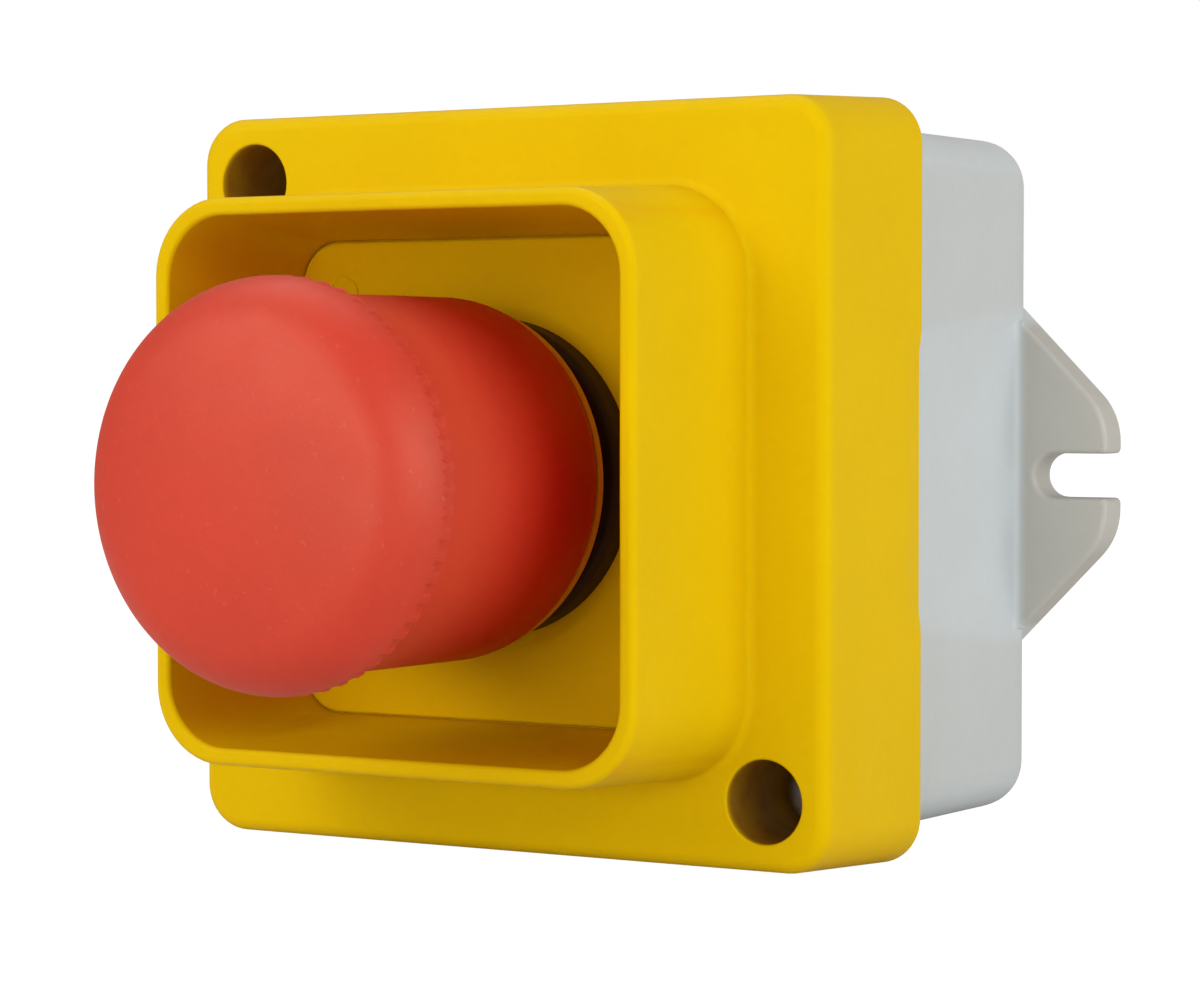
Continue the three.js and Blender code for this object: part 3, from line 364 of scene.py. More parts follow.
def plastic(name, color, roughness, dark=0.9, light=1.06, grain=0.05, grain_scale=2600.0,
            speckle=0.0, scuff=0.3, specular=0.5, tint=None, lug_shade=None, deep=None):
    """Moulded plastic: cloudy colour, fine surface grain, faint scuffs, specks of dust, and painted
    shade and warm painted shade where the mesh is marked with them. The last two tints paint shade:
    one on a wall box's lugs, beyond its sides, the other on the part of the neck that the collar
    keeps the light from."""
    material = bpy.data.materials.new(name)
    material.use_nodes = True
    tree = material.node_tree
    shader = tree.nodes["Principled BSDF"]
    shader.inputs["Specular IOR Level"].default_value = specular
    if tint:
        shader.inputs["Specular Tint"].default_value = tint + (1.0,)

    coords = tree.nodes.new("ShaderNodeTexCoord").outputs["Object"]

    def noise(scale, detail=3.0, rough=0.5):
        node = tree.nodes.new("ShaderNodeTexNoise")
        node.inputs["Scale"].default_value = scale
        node.inputs["Detail"].default_value = detail
        node.inputs["Roughness"].default_value = rough
        link(tree, coords, node.inputs["Vector"])
        return node.outputs["Fac"]

    def ramp(value, low, high, first, last):
        node = tree.nodes.new("ShaderNodeMapRange")
        node.inputs["From Min"].default_value = low
        node.inputs["From Max"].default_value = high
        node.inputs["To Min"].default_value = first
        node.inputs["To Max"].default_value = last
        link(tree, value, node.inputs["Value"])
        return node.outputs["Result"]

    def blend(fac, a, b, mode="MIX"):
        node = tree.nodes.new("ShaderNodeMix")
        node.data_type = "RGBA"
        node.blend_type = mode
        for socket, value in (("Factor", fac), ("A", a), ("B", b)):
            target = [s for s in node.inputs if s.name == socket and s.enabled][0]
            if isinstance(value, (tuple, float)):
                target.default_value = value
            else:
                link(tree, value, target)
        return [s for s in node.outputs if s.enabled][0]

    def tinted(fac, a, tint_color):
        """a, multiplied by the tint where fac is 1."""
        return blend(fac, a, blend(1.0, a, tint_color, "MULTIPLY"))

    def calculate(operation, *values):
        node = tree.nodes.new("ShaderNodeMath")
        node.operation = operation
        for target, value in zip(node.inputs, values):
            if isinstance(value, float):
                target.default_value = value
            else:
                link(tree, value, target)
        return node.outputs[0]

    def axis(letter):
        node = tree.nodes.new("ShaderNodeSeparateXYZ")
        link(tree, coords, node.inputs[0])
        return node.outputs[letter]

    def marked(name):
        node = tree.nodes.new("ShaderNodeAttribute")
        node.attribute_name = name
        return node.outputs["Fac"]

    def uneven(height, strength, distance, under=None):
        node = tree.nodes.new("ShaderNodeBump")
        node.inputs["Strength"].default_value = strength
        node.inputs["Distance"].default_value = distance
        link(tree, height, node.inputs["Height"])
        if under is not None:
            link(tree, under, node.inputs["Normal"])
        return node.outputs["Normal"]

    def shade(factor, lift=0.0):
        return tuple(min(1.0, c * factor + lift) for c in color) + (1.0,)

    cloud = ramp(noise(CLOUD_SCALE), 0.32, 0.68, 0.0, 1.0)
    base = blend(cloud, shade(dark), shade(light))
    mottle = ramp(noise(MOTTLE_SCALE, 2.0), 0.35, 0.65, 0.0, 1.0)
    base = blend(0.18, base, blend(mottle, shade(dark * 0.96), shade(light)))
    dust = ramp(noise(DUST_SCALE, 1.0), 0.70, 0.76, 0.0, speckle)
    base = blend(dust, base, shade(0.5, 0.45))
    rubbed = ramp(noise(SCUFF_SCALE, 6.0, 0.75), 0.60, 0.72, 0.0, scuff)
    base = blend(rubbed, base, shade(1.08, 0.02))
    # Painted shade on the lugs, beyond the box's sides.
    if lug_shade:
        beyond = ramp(calculate("ABSOLUTE", axis("X")), *LUG_SHADE_FROM_X, 0.0, 1.0)
        base = tinted(beyond, base, lug_shade + (1.0,))
    # Painted shade towards the rear of the neck, deep in the collar, which also takes out the painted
    # sheen in the neck's colour.
    if deep:
        base = tinted(ramp(axis("Y"), *DEEP_FROM_Y, 0.0, 1.0), base, deep + (1.0,))
    # Warm painted shade where the mesh is marked with it.
    base = tinted(marked("warm_shade"), base, WARM_SHADE_TINT)
    # Painted shade, a little patchy, where the mesh is marked with it.
    patchy = ramp(noise(SHADE_PATCH_SCALE, 4.0, 0.6), 0.35, 0.65, 0.86, 1.0)
    base = blend(calculate("MULTIPLY", marked("painted_shade"), patchy), base, SHADE_COLOR)
    link(tree, base, shader.inputs["Base Color"])

    gloss = ramp(noise(GLOSS_SCALE, 4.0), 0.3, 0.7, roughness - 0.05, roughness + 0.05)
    link(tree, calculate("MULTIPLY_ADD", rubbed, 0.18, gloss), shader.inputs["Roughness"])

    wave = uneven(noise(WAVE_SCALE, 1.0), 0.12, 0.0004)
    normal = uneven(noise(grain_scale, 2.0, 0.6), grain, 0.0002, wave)
    link(tree, normal, shader.inputs["Normal"])
    return material


def metal(name, color, roughness, scale=600.0):
    """Plated or drawn metal with fine lines, faint tarnish and uneven gloss."""
    material = bpy.data.materials.new(name)
    material.use_nodes = True
    tree = material.node_tree
    shader = tree.nodes["Principled BSDF"]
    shader.inputs["Metallic"].default_value = 1.0
    coords = tree.nodes.new("ShaderNodeTexCoord").outputs["Object"]
    tarnish = tree.nodes.new("ShaderNodeTexNoise")
    tarnish.inputs["Scale"].default_value = scale
    tarnish.inputs["Detail"].default_value = 5.0
    link(tree, coords, tarnish.inputs["Vector"])
    tone = tree.nodes.new("ShaderNodeValToRGB")
    tone.color_ramp.elements[0].position = 0.3
    tone.color_ramp.elements[0].color = tuple(c * 0.72 for c in color) + (1.0,)
    tone.color_ramp.elements[1].position = 0.65
    tone.color_ramp.elements[1].color = color + (1.0,)
    link(tree, tarnish.outputs["Fac"], tone.inputs["Fac"])
    link(tree, tone.outputs["Color"], shader.inputs["Base Color"])
    gloss = tree.nodes.new("ShaderNodeMapRange")
    gloss.inputs["To Min"].default_value = roughness * 0.7
    gloss.inputs["To Max"].default_value = roughness * 1.4
    link(tree, tarnish.outputs["Fac"], gloss.inputs["Value"])
    link(tree, gloss.outputs["Result"], shader.inputs["Roughness"])
    bump = tree.nodes.new("ShaderNodeBump")
    bump.inputs["Strength"].default_value = 0.1
    bump.inputs["Distance"].default_value = 0.0001
    link(tree, tarnish.outputs["Fac"], bump.inputs["Height"])
    link(tree, bump.outputs["Normal"], shader.inputs["Normal"])
    return material


MATERIALS = {
    "yellow_plastic": plastic("yellow_plastic", (0.80, 0.545, 0.0015), 0.46, 0.97, 1.02,
                              grain=0.035, scuff=0.06, speckle=0.03, specular=0.22,
                              tint=(1.0, 0.72, 0.03)),
    # The tint on the next line paints shade on the lugs.
    "grey_plastic": plastic("grey_plastic", (0.60, 0.68, 0.725), 0.5, 0.97, 1.02, grain=0.04,
                            scuff=0.12, speckle=0.04, lug_shade=(0.86, 0.78, 0.70)),
    "red_plastic": plastic("red_plastic", (0.63, 0.037, 0.020), 0.5, 0.93, 1.06, grain=0.10,
                           grain_scale=2200.0, scuff=0.18, speckle=0.05, specular=0.75,
                           tint=(1.0, 0.8, 0.55)),
    # The neck's colour holds a painted warm-white sheen in its green and blue. The tint on its last
    # line takes that out again towards the neck's rear, with painted shade.
    "red_plastic_neck": plastic("red_plastic_neck", (0.64, 0.056, 0.026), 0.5, 0.95, 1.04,
                                grain=0.05, scuff=0.02, speckle=0.02, specular=0.3,
                                tint=(1.0, 0.75, 0.6), deep=(0.74, 0.02, 0.08)),
    "orange_plastic": plastic("orange_plastic", (0.66, 0.24, 0.012), 0.5, 0.9, 1.05, scuff=0.1),
    "black_plastic": plastic("black_plastic", (0.033, 0.017, 0.010), 0.55, 0.8, 1.3, grain=0.06,
                             scuff=0.1, speckle=0.03, specular=0.25),
    "dark_grey_plastic": plastic("dark_grey_plastic", (0.042, 0.047, 0.05), 0.6, 0.85, 1.15),
    "green_plastic": plastic("green_plastic", (0.028, 0.2, 0.078), 0.5, 0.9, 1.08),
    "black_rubber": plastic("black_rubber", (0.008, 0.008, 0.008), 0.8, 0.7, 1.5, grain=0.12,
                            scuff=0.1, specular=0.3),
    "zinc_steel": metal("zinc_steel", (0.62, 0.63, 0.66), 0.36),
    "spring_steel": metal("spring_steel", (0.48, 0.49, 0.5), 0.28, 1200.0),
    "brass": metal("brass", (0.62, 0.42, 0.12), 0.3, 800.0),
}
SLOTS = {part["node"]: part["material_slot"] for part in frame["record"]["subparts"]}

for node, obj in frame["nodes"].items():
    obj.data.materials.clear()
    obj.data.materials.append(MATERIALS[SLOTS[node]])


def finish_piece(obj, node, body, sharp=32.0):
    """Gives a piece its smooth shading, the material of the CAD node it stands for and its body, and
    hides that node.
    """
    mesh = obj.data
    mesh.materials.clear()
    mesh.materials.append(MATERIALS[SLOTS[node]])
    for polygon in mesh.polygons:
        polygon.use_smooth = True
        polygon.material_index = 0
    mesh.set_sharp_from_angle(angle=math.radians(sharp))
    normals = obj.modifiers.new("normals", "WEIGHTED_NORMAL")
    normals.keep_sharp = True
    normals.weight = 100
    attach(obj, body)
    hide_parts(node)
    return obj


# ---------------------------------------------------------------- cover


def side_dip(ring, depth, half, run):
    """Sets the two side walls of a ring in by depth, over the given half height, with soft ends."""
    dipped = []
    for x, y, z in ring:
        share = 1.0 - smooth_step(abs(y), half, half + run)
        if abs(y) < half + run and abs(x) > abs(y):
            x -= math.copysign(depth * share, x)
        dipped.append((x, y, z))
    return dipped


def cover_painted_shade(x, y, z):
    """How much painted shade and how much warm painted shade the cover gets at a point, each from 0
    to 1.
    """
    to_screw = min(
        math.hypot(x + SCREW_OFFSET, y - SCREW_OFFSET),
        math.hypot(x - SCREW_OFFSET, y + SCREW_OFFSET),
    )
    in_well = to_screw < WELL_RADIUS + 0.07 and z > WELL_COLUMN_Z + 0.1
    if in_well:
        # The painted shade in a well thins out towards its mouth.
        return 0.95 - 0.45 * smooth_step(z, FACE_Z - 1.0, FACE_Z - 0.1), 0.0
    in_collar = max(abs(x), abs(y)) < POCKET_RIM[0] + 0.2 and FACE_Z - 0.6 < z < RIM_Z - 0.4
    if not in_collar:
        return 0.0, 0.0
    # The gutter round the pocket floor gets painted shadow and warm painted shade.
    in_gutter = z < FACE_Z - FLOOR_EDGE - 0.01
    if in_gutter:
        return 0.5, 0.4
    # The floor's rounded edge gets neither, so that it shows as a lighter line: a painted highlight.
    on_floor_edge = z < FACE_Z - 0.01
    if on_floor_edge:
        return 0.0, 0.0
    # Inside the collar everything gets some warm painted shade. The left wall gets some painted shade
    # and the warmest painted shade, the warmth less so towards the collar's rim.
    left = 1.0 - smooth_step(x, -25.5, -21.0)
    return 0.2 * left, 0.18 + 0.62 * left * (1.0 - 0.6 * smooth_step(z, 60.0, 69.0))


def paint_cover_shade(cover):
    """Marks painted shade on the walls of the screw wells and inside the collar, and warm painted
    shade inside the collar.
    """
    painted_shade = cover.data.attributes.new("painted_shade", "FLOAT", "POINT")
    warm_shade = cover.data.attributes.new("warm_shade", "FLOAT", "POINT")
    for v in cover.data.vertices:
        shade_amount, warm = cover_painted_shade(v.co.x / MM, v.co.z / MM, -v.co.y / MM)
        painted_shade.data[v.index].value = shade_amount
        warm_shade.data[v.index].value = warm


def grown(square, by, z):
    """A ring of the given rounded square with every side moved out by the same amount."""
    half, corner = square
    return square_ring(half + by, corner + by, z)


def cover_rings():
    """The cover's skin, from the parting line up its side, over the collar and down to its floor."""
    edge_z = FACE_Z - COVER_EDGE
    rings = [grown((COVER_HALF, COVER_CORNER), -0.2, PARTING_Z)]
    for z in (32.08, 32.25, 32.8, 33.4, 34.0, 34.6, 35.2, 38.0, 42.0, 46.0, edge_z):
        t = (z - PARTING_Z) / (edge_z - PARTING_Z)
        half = COVER_HALF + (COVER_HALF_FRONT - COVER_HALF) * t
        rings.append(square_ring(half, COVER_CORNER, z))
    for i, ring in enumerate(rings):
        fade = 1.0 - smooth_step(ring[0][2], 32.3, 35.0)
        rings[i] = side_dip(ring, COVER_STEP * fade, COVER_STEP_HALF, COVER_STEP_RUN)
    front = (COVER_HALF_FRONT, COVER_CORNER)
    rings += [grown(front, r - COVER_EDGE, z) for r, z in arc(0, edge_z, COVER_EDGE, 0, 90, 8)[1:]]
    inside_edge = (34.9, 4.4)
    rings.append(square_ring(*inside_edge, FACE_Z))

    foot_z = FACE_Z + COLLAR_FOOT
    rings.append(grown(COLLAR_BASE, COLLAR_FOOT + 0.3, FACE_Z))
    rings += [grown(COLLAR_BASE, r, z) for r, z in arc(COLLAR_FOOT, foot_z, COLLAR_FOOT, 270, 180, 6)]
    top = RIM_Z - RIM_OUTER_ROUND
    for t in (0.3, 0.7):
        rings.append(square_ring(*mixed(COLLAR_BASE, COLLAR_RIM, t), foot_z + t * (top - foot_z)))
    for r, z in arc(0, top, RIM_OUTER_ROUND, 0, 90, 6):
        rings.append(grown(COLLAR_RIM, r - RIM_OUTER_ROUND, z))
    for r, z in arc(0, RIM_Z - RIM_INNER_ROUND, RIM_INNER_ROUND, 90, 180, 5):
        rings.append(grown(POCKET_RIM, r + RIM_INNER_ROUND, z))

    wall_low, wall_height = FACE_Z + 0.5, 18.5
    for t in (0.7, 0.3):
        rings.append(square_ring(*mixed(POCKET_FLOOR, POCKET_RIM, t), wall_low + t * wall_height))
    rings.append(square_ring(*POCKET_FLOOR, FACE_Z + 0.1))
    rings.append(square_ring(*POCKET_FLOOR, FACE_Z - GUTTER_DEPTH))
    rings.append(grown(POCKET_FLOOR, -GUTTER_WIDTH, FACE_Z - GUTTER_DEPTH))
    for r, z in arc(-FLOOR_EDGE, FACE_Z - FLOOR_EDGE, FLOOR_EDGE, 0, 90, 5):
        rings.append(grown(POCKET_FLOOR, r - GUTTER_WIDTH, z))
    rings.append(grown(POCKET_FLOOR, -1.2, FACE_Z))
    return rings


def build_cover():
    cover = loft("cover_shell", cover_rings())
    ledge_z, roof_z = 38.3, 47.0
    cut(cover, block(COVER_REBATE, PARTING_Z - 1.0, ledge_z))
    cut(cover, block(COVER_HOLLOW, ledge_z - 1.3, roof_z))
    add(cover, *at_screws(lambda: rod(WELL_COLUMN_RADIUS, WELL_COLUMN_Z, FACE_Z - 0.7)))

    well = [(0, WELL_SEAT_Z)]
    well += [(WELL_RADIUS, z) for z in (WELL_SEAT_Z, 40.0, 43.0, 45.5, 47.5, 49.0, 49.4)]
    well += arc(WELL_RADIUS + WELL_MOUTH, FACE_Z - WELL_MOUTH, WELL_MOUTH, 180, 90, 4)
    well += [(WELL_RADIUS + WELL_MOUTH, PAST_FACE_Z), (0, PAST_FACE_Z)]
    cut(cover, *at_screws(lambda: lathe("tool", well, 64)))
    cut(cover, *at_screws(lambda: rod(SCREW_HOLE_RADIUS, 32.0, 40.0)))

    under_roof_z = roof_z - 1.0
    cut(cover, shifted(rod(PANEL_HOLE_RADIUS, under_roof_z, PAST_FACE_Z, 96), 0, DEVICE_Y))
    keyway = [(-1.6, 10.4), (1.6, 10.4), (1.6, 12.05), (-1.6, 12.05)]
    cut(cover, shifted(prism("tool", keyway, under_roof_z, PAST_FACE_Z), 0, DEVICE_Y))
    mark_z = FACE_Z - 0.12
    mark = [(1.58, mark_z), (1.72, mark_z), (1.8, PAST_FACE_Z), (1.5, PAST_FACE_Z)]
    cut(cover, shifted(lathe("tool", mark, 48), *EJECTOR_MARK))
    paint_cover_shade(cover)
    finish_piece(cover, "front_cover", "enclosure")


# ---------------------------------------------------------------- wall box


def lug_outline(inset):
    """The right lug's outline set in by inset, as arcs joined by straight lines."""
    tip_x = LUG_TIP_X - inset
    tip_radius = LUG_TIP_RADIUS - inset
    root_half = LUG_ROOT_HALF - inset * math.sqrt(2)
    slot_half = SLOT_HALF + inset
    mouth = 0.5
    arc_y = root_half + BASE_HALF - tip_x - tip_radius * math.tan(math.pi / 8)
    centre_x = tip_x - tip_radius
    buried = 2.0
    points = [(BASE_HALF - buried, -root_half - buried)]
    points += arc(centre_x, -arc_y, tip_radius, -45, 0, 8)
    points += [(tip_x, -(arc_y + slot_half) / 2)]
    points += arc(tip_x - mouth, -slot_half - mouth, mouth, 0, 90, 3)
    points += arc(SLOT_X, 0, slot_half, 270, 90, 16)
    points += arc(tip_x - mouth, slot_half + mouth, mouth, 270, 360, 3)
    points += [(tip_x, (arc_y + slot_half) / 2)]
    points += arc(centre_x, arc_y, tip_radius, 0, 45, 8)
    points += [(BASE_HALF - buried, root_half + buried)]
    return points


def lug(side):
    """The lug on the right (side 1) or on the left (side -1)."""
    edge, rear_edge = 0.55, 0.25
    rings = []
    for r, z in arc(0, rear_edge, rear_edge, 270, 360, 3):
        rings.append([(x, y, z) for x, y in lug_outline(rear_edge - r)])
    for r, z in arc(0, LUG_Z - edge, edge, 0, 90, 5):
        rings.append([(x, y, z) for x, y in lug_outline(edge - r)])
    if side < 0:
        rings = [[(-x, -y, z) for x, y, z in ring] for ring in rings]
    return loft("tool", rings)


def lug_fillet(side):
    """The small concave rounding where a lug's front face meets the box's side."""
    radius, buried = 0.7, 1.0
    wall = BASE_HALF - SCOOP_DEPTH
    profile = [(wall - buried, LUG_Z - buried), (wall + radius, LUG_Z - buried)]
    profile += arc(wall + radius, LUG_Z + radius, radius, 270, 180, 6)
    profile += [(wall - buried, LUG_Z + radius)]
    rings = []
    for y in (-LUG_ROOT_HALF, LUG_ROOT_HALF):
        rings.append([(side * x, y, z) for x, z in profile])
    return loft("tool", rings)


def knockout_groove(side):
    """The tool for the break-out groove in the box's top (side 1) or bottom (side -1)."""
    profile = [(9.3, -1.2), (10.2, -1.2), (10.2, -0.12), (10.35, 0.0), (10.35, 1.0), (9.15, 1.0),
               (9.15, 0.0), (9.3, -0.12)]
    tool = lathe("tool", profile, 72)
    for v in tool.data.vertices:
        x, y, z = v.co.x / MM, v.co.z / MM, -v.co.y / MM
        v.co = place(x, side * (BASE_HALF + z), KNOCKOUT_Z + y)
    outwards(tool)
    return tool


def build_base():
    rings = []
    for r, z in arc(0, BASE_REAR_ROUND, BASE_REAR_ROUND, 270, 360, 10):
        inset = BASE_REAR_ROUND - r
        rings.append(square_ring(BASE_HALF - inset, BASE_CORNER - inset + 0.05, z))
    for z in (5.2, 7.0, 10.0, 14.0, 18.0, 22.0, 26.0, 30.0, 31.0, 31.8, 32.6, 34.0, 35.7):
        rings.append(square_ring(BASE_HALF, BASE_CORNER, z))
    rings.append(square_ring(BASE_HALF - 0.3, BASE_CORNER - 0.3, BASE_RIM_Z))
    narrowing = (SCOOP_HALF_REAR - SCOOP_HALF_FRONT) / (PARTING_Z - LUG_Z)
    for i, ring in enumerate(rings):
        z = ring[0][2]
        depth = SCOOP_DEPTH * smooth_step(z, 3.4, 4.3) * (1.0 - smooth_step(z, 31.9, 33.0))
        half = SCOOP_HALF_REAR - narrowing * (z - LUG_Z) - 0.3
        rings[i] = side_dip(ring, depth, half, SCOOP_RUN)
    base = loft("wall_box", rings)
    for side in (-1, 1):
        add(base, lug(side), lug_fillet(side))

    past_rim_z = BASE_RIM_Z + 1.0
    cavity = block(CAVITY, CAVITY_FLOOR_Z, past_rim_z)
    columns = at_screws(lambda: rod(SCREW_COLUMN_RADIUS, CAVITY_FLOOR_Z - 1.0, past_rim_z + 1.0))
    cut(cavity, *columns)
    cut(base, cavity)
    # Each column takes the end of a well, the thread insert and the screw's point, in that order.
    for radius, bottom in ((5.6, 32.7), (3.1, 24.6), (SCREW_HOLE_RADIUS, 18.7)):
        cut(base, *at_screws(lambda: rod(radius, bottom, past_rim_z)))
    for side in (-1, 1):
        cut(base, knockout_groove(side))
    finish_piece(base, "rear_base", "enclosure")


# ---------------------------------------------------------------- head and actuator


def cap_profile():
    """The cap's outside from its rear edge to the apex: an edge, a shoulder and a shallow dome."""
    dome, shoulder, edge = 59.8, 6.45, 18.6
    centre = CAP_RADIUS - shoulder
    distance = dome - shoulder
    dome_z = CAP_FRONT_Z - dome
    lean = math.degrees(math.asin(centre / distance))
    shoulder_z = dome_z + distance * math.cos(math.radians(lean))
    points = [(edge - 0.25, CAP_REAR_Z), (edge - 0.1, CAP_REAR_Z + 0.04)]
    for lift in (0.08, 0.14, 0.22, 0.34, 0.5, 0.66, 0.78, 0.86, 0.94, 1.05, 1.2):
        points.append((edge + 0.28 * min(1.0, lift / 0.9), CAP_REAR_Z + lift))
    points += arc(centre, shoulder_z, shoulder, -11, 90 - lean, 22)
    points += arc(0, dome_z, dome, 90 - lean, 90, 12)[1:-1]
    rising = [p for i, p in enumerate(points) if i == 0 or p[1] > points[i - 1][1]]
    return rising + [(0, CAP_FRONT_Z)]


def cap_tooth(r, z, angle):
    """Sinks a row of small pits into the cap's edge, just in front of a thin notched lip."""
    lift = z - CAP_REAR_Z
    inside, above_pits = 18.2, 1.25
    if r < inside or lift > above_pits:
        return r
    phase = (angle * NOTCHES / (2 * math.pi)) % 1.0
    pit = 1.0 - smooth_step(abs(phase - 0.5), 0.2, 0.29)
    along = smooth_step(lift, 0.07, 0.2) * (1.0 - smooth_step(lift, 0.8, 0.93))
    lip = 1.0 - smooth_step(lift, 0.1, 0.3)
    return r + LIP_SWELL * lip - PIT_DEPTH * pit * along - LIP_NOTCH * pit * lip


def build_cap():
    profile = [(0, 92.1), (8.0, 91.7), (13.0, 90.6), (15.7, 89.0), (15.7, CAP_REAR_Z)]
    profile += [(17.4, CAP_REAR_Z)] + cap_profile()
    cap = lathe("mushroom_head", profile, NOTCHES * 12, cap_tooth)
    # The pits in the cap's edge get painted shade.
    painted_shade = cap.data.attributes.new("painted_shade", "FLOAT", "POINT")
    for v in cap.data.vertices:
        r, lift = math.hypot(v.co.x, v.co.z) / MM, -v.co.y / MM - CAP_REAR_Z
        in_pit = 17.5 < r < 18.3 and 0.1 < lift < 1.0
        if in_pit:
            painted_shade.data[v.index].value = PIT_SHADE
    finish_piece(shifted(cap, 0, DEVICE_Y), "mushroom_cap", "head", 50.0)


def build_neck():
    """The sleeve behind the cap, with the socket inside it that takes the stem."""
    inside, socket, spigot, edge = NECK_RADIUS - NECK_WALL, 9.5, 15.6, 0.3
    profile = [(inside, NECK_REAR_Z), (NECK_RADIUS - 1.5, NECK_REAR_Z)]
    profile += arc(NECK_RADIUS - NECK_REAR_ROUND, NECK_REAR_Z + NECK_REAR_ROUND, NECK_REAR_ROUND,
                   270, 360, 9)
    profile += [(NECK_RADIUS, 66.0), (NECK_RADIUS, 76.0)]
    profile += arc(NECK_RADIUS - edge, NECK_FRONT_Z - edge, edge, 0, 90, 4)
    profile += [(spigot, NECK_FRONT_Z), (spigot, 88.5), (spigot - 2.0, 88.5), (spigot - 2.0, 84.5)]
    profile += [(STEM_HOLE_RADIUS, 84.5), (STEM_HOLE_RADIUS, 62.2), (socket, 62.2), (socket, 82.0)]
    profile += [(inside, 82.0)]
    neck = shifted(lathe("neck_sleeve", profile, 160), 0, DEVICE_Y)
    finish_piece(neck, "neck_skirt", "head")


def build_ring():
    """The orange ring, with the collar in front of it that sits inside the neck."""
    rear_z, front_z, collar_z, edge = 57.6, 58.7, 61.7, 0.2
    inside, collar_inside, collar_outside = 11.6, 13.7, 14.9
    profile = [(inside, rear_z)] + arc(RING_RADIUS - edge, rear_z + edge, edge, 270, 360, 3)
    profile += [(RING_RADIUS, front_z), (collar_outside, front_z), (collar_outside, collar_z)]
    profile += [(collar_inside, collar_z), (collar_inside, front_z), (inside, front_z)]
    ring = shifted(lathe("orange_ring", profile, 144), 0, DEVICE_Y)
    finish_piece(ring, "indicator_ring", "head")


def build_actuator():
    """The bezel with the threaded barrel behind it."""
    rear, seat, front = 31.1, 50.05, 52.8
    root, crest, bore, edge, dish = 10.4, 11.0, 8.95, 0.8, 0.12
    profile = [(STEM_HOLE_RADIUS, rear), (root, rear)]
    thread_z, thread_end, pitch = 32.0, 44.0, 2.7
    turn = [(root, 0.0), (10.55, 0.5), (10.95, 1.1), (crest, 1.3), (10.95, 1.5), (10.55, 2.1)]
    while thread_z < thread_end:
        profile += [(r, thread_z + lift) for r, lift in turn]
        thread_z += pitch
    profile += [(root, 46.8), (crest, 47.2), (crest, seat)]
    seal_inner, seal_outer, seal_z = 11.7, 13.7, 51.05
    profile += [(seal_inner, seat), (seal_inner, seal_z), (seal_outer, seal_z), (seal_outer, seat)]
    profile += [(BEZEL_RADIUS - 0.1, seat), (BEZEL_RADIUS, seat + 0.1)]
    profile += arc(BEZEL_RADIUS - edge, front - edge, edge, 0, 90, 7)
    profile += [(14.1, front), (13.8, front - dish), (11.9, front - dish), (11.6, front)]
    profile += arc(bore + 0.5, front - 0.5, 0.5, 90, 180, 5)
    profile += [(bore, 50.6), (10.05, 50.6), (10.05, 48.6), (bore, 48.6)]
    profile += [(bore, 37.9), (9.3, 37.4), (9.3, 32.6), (STEM_HOLE_RADIUS, 32.6)]
    body = lathe("bezel_and_barrel", profile, 144)
    key = [(-1.3, 10.2), (1.3, 10.2), (1.3, 11.6), (-1.3, 11.6)]
    add(body, prism("tool", key, 47.0, seat + 0.3))
    finish_piece(shifted(body, 0, DEVICE_Y), "actuator_body", "enclosure")


def build_screw(name, node, x, y, degrees):
    """A cover screw: thread, cheese head with a rounded top, and a cross recess turned by degrees."""
    low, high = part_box(node)
    point, top = -high.y / MM, -low.y / MM
    under = top - 2.8
    shank, root, head, pitch = 2.0, 1.62, 3.6, 0.7
    profile = [(0, point), (1.2, point), (1.55, point + 0.5)]
    z = point + 1.0
    while z < under - 2 * pitch:
        profile += [(root, z), (shank, z + pitch / 2), (root, z + pitch)]
        z += pitch
    profile += [(shank, under - 0.6), (shank, under), (head - 0.15, under), (head, under + 0.15)]
    profile += [(head, under + 1.3)]
    profile += arc(head - 1.4, top - 1.4, 1.4, 0, 72, 7)
    profile += [(1.6, top - 0.02), (0, top)]
    screw = lathe(name, profile, 64)

    half, reach, depth, narrowing = 0.48, 2.1, 1.7, 0.55
    slot = [(-reach, -half), (reach, -half), (reach, half), (-reach, half)]
    for outline in (slot, [(-b, a) for a, b in slot]):
        tool = prism("tool", outline, top - depth, top + 1.0)
        for v in tool.data.vertices:
            if -v.co.y / MM < top:
                v.co.x *= narrowing
                v.co.z *= narrowing
        cut(screw, tool)
    spin = math.radians(degrees)
    for v in screw.data.vertices:
        a, b = v.co.x, v.co.z
        v.co.x = a * math.cos(spin) - b * math.sin(spin) + x * MM
        v.co.z = a * math.sin(spin) + b * math.cos(spin) + y * MM
    finish_piece(screw, node, "enclosure", 35.0)


def build_spring(name, node, wire):
    """A coil of wire of the given radius, its end turns closed."""
    low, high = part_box(node)
    rear, front = -high.y / MM, -low.y / MM
    centre_x, centre_y = (low.x + high.x) / 2 / MM, (low.z + high.z) / 2 / MM
    radius = (high.x - low.x) / 2 / MM - wire
    sides, steps, turns = 10, 28, 5
    end_pitch = 2.15 * wire
    pitch = (front - rear - 2 * wire - 2 * end_pitch) / (turns - 2)
    rings = []
    for i in range(steps * turns + 1):
        t = i / steps
        lift = end_pitch * min(t, 1.0) + pitch * max(0.0, min(t - 1.0, turns - 2.0))
        lift += end_pitch * max(0.0, t - turns + 1.0)
        c, s = math.cos(2 * math.pi * t), math.sin(2 * math.pi * t)
        ring = []
        for r, z in arc(radius, rear + wire + lift, wire, 0, 360, sides)[:-1]:
            ring.append((centre_x + r * c, centre_y + r * s, z))
        rings.append(ring)
    spring = finish_piece(loft(name, rings), node, "enclosure", 60.0)
    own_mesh(spring)


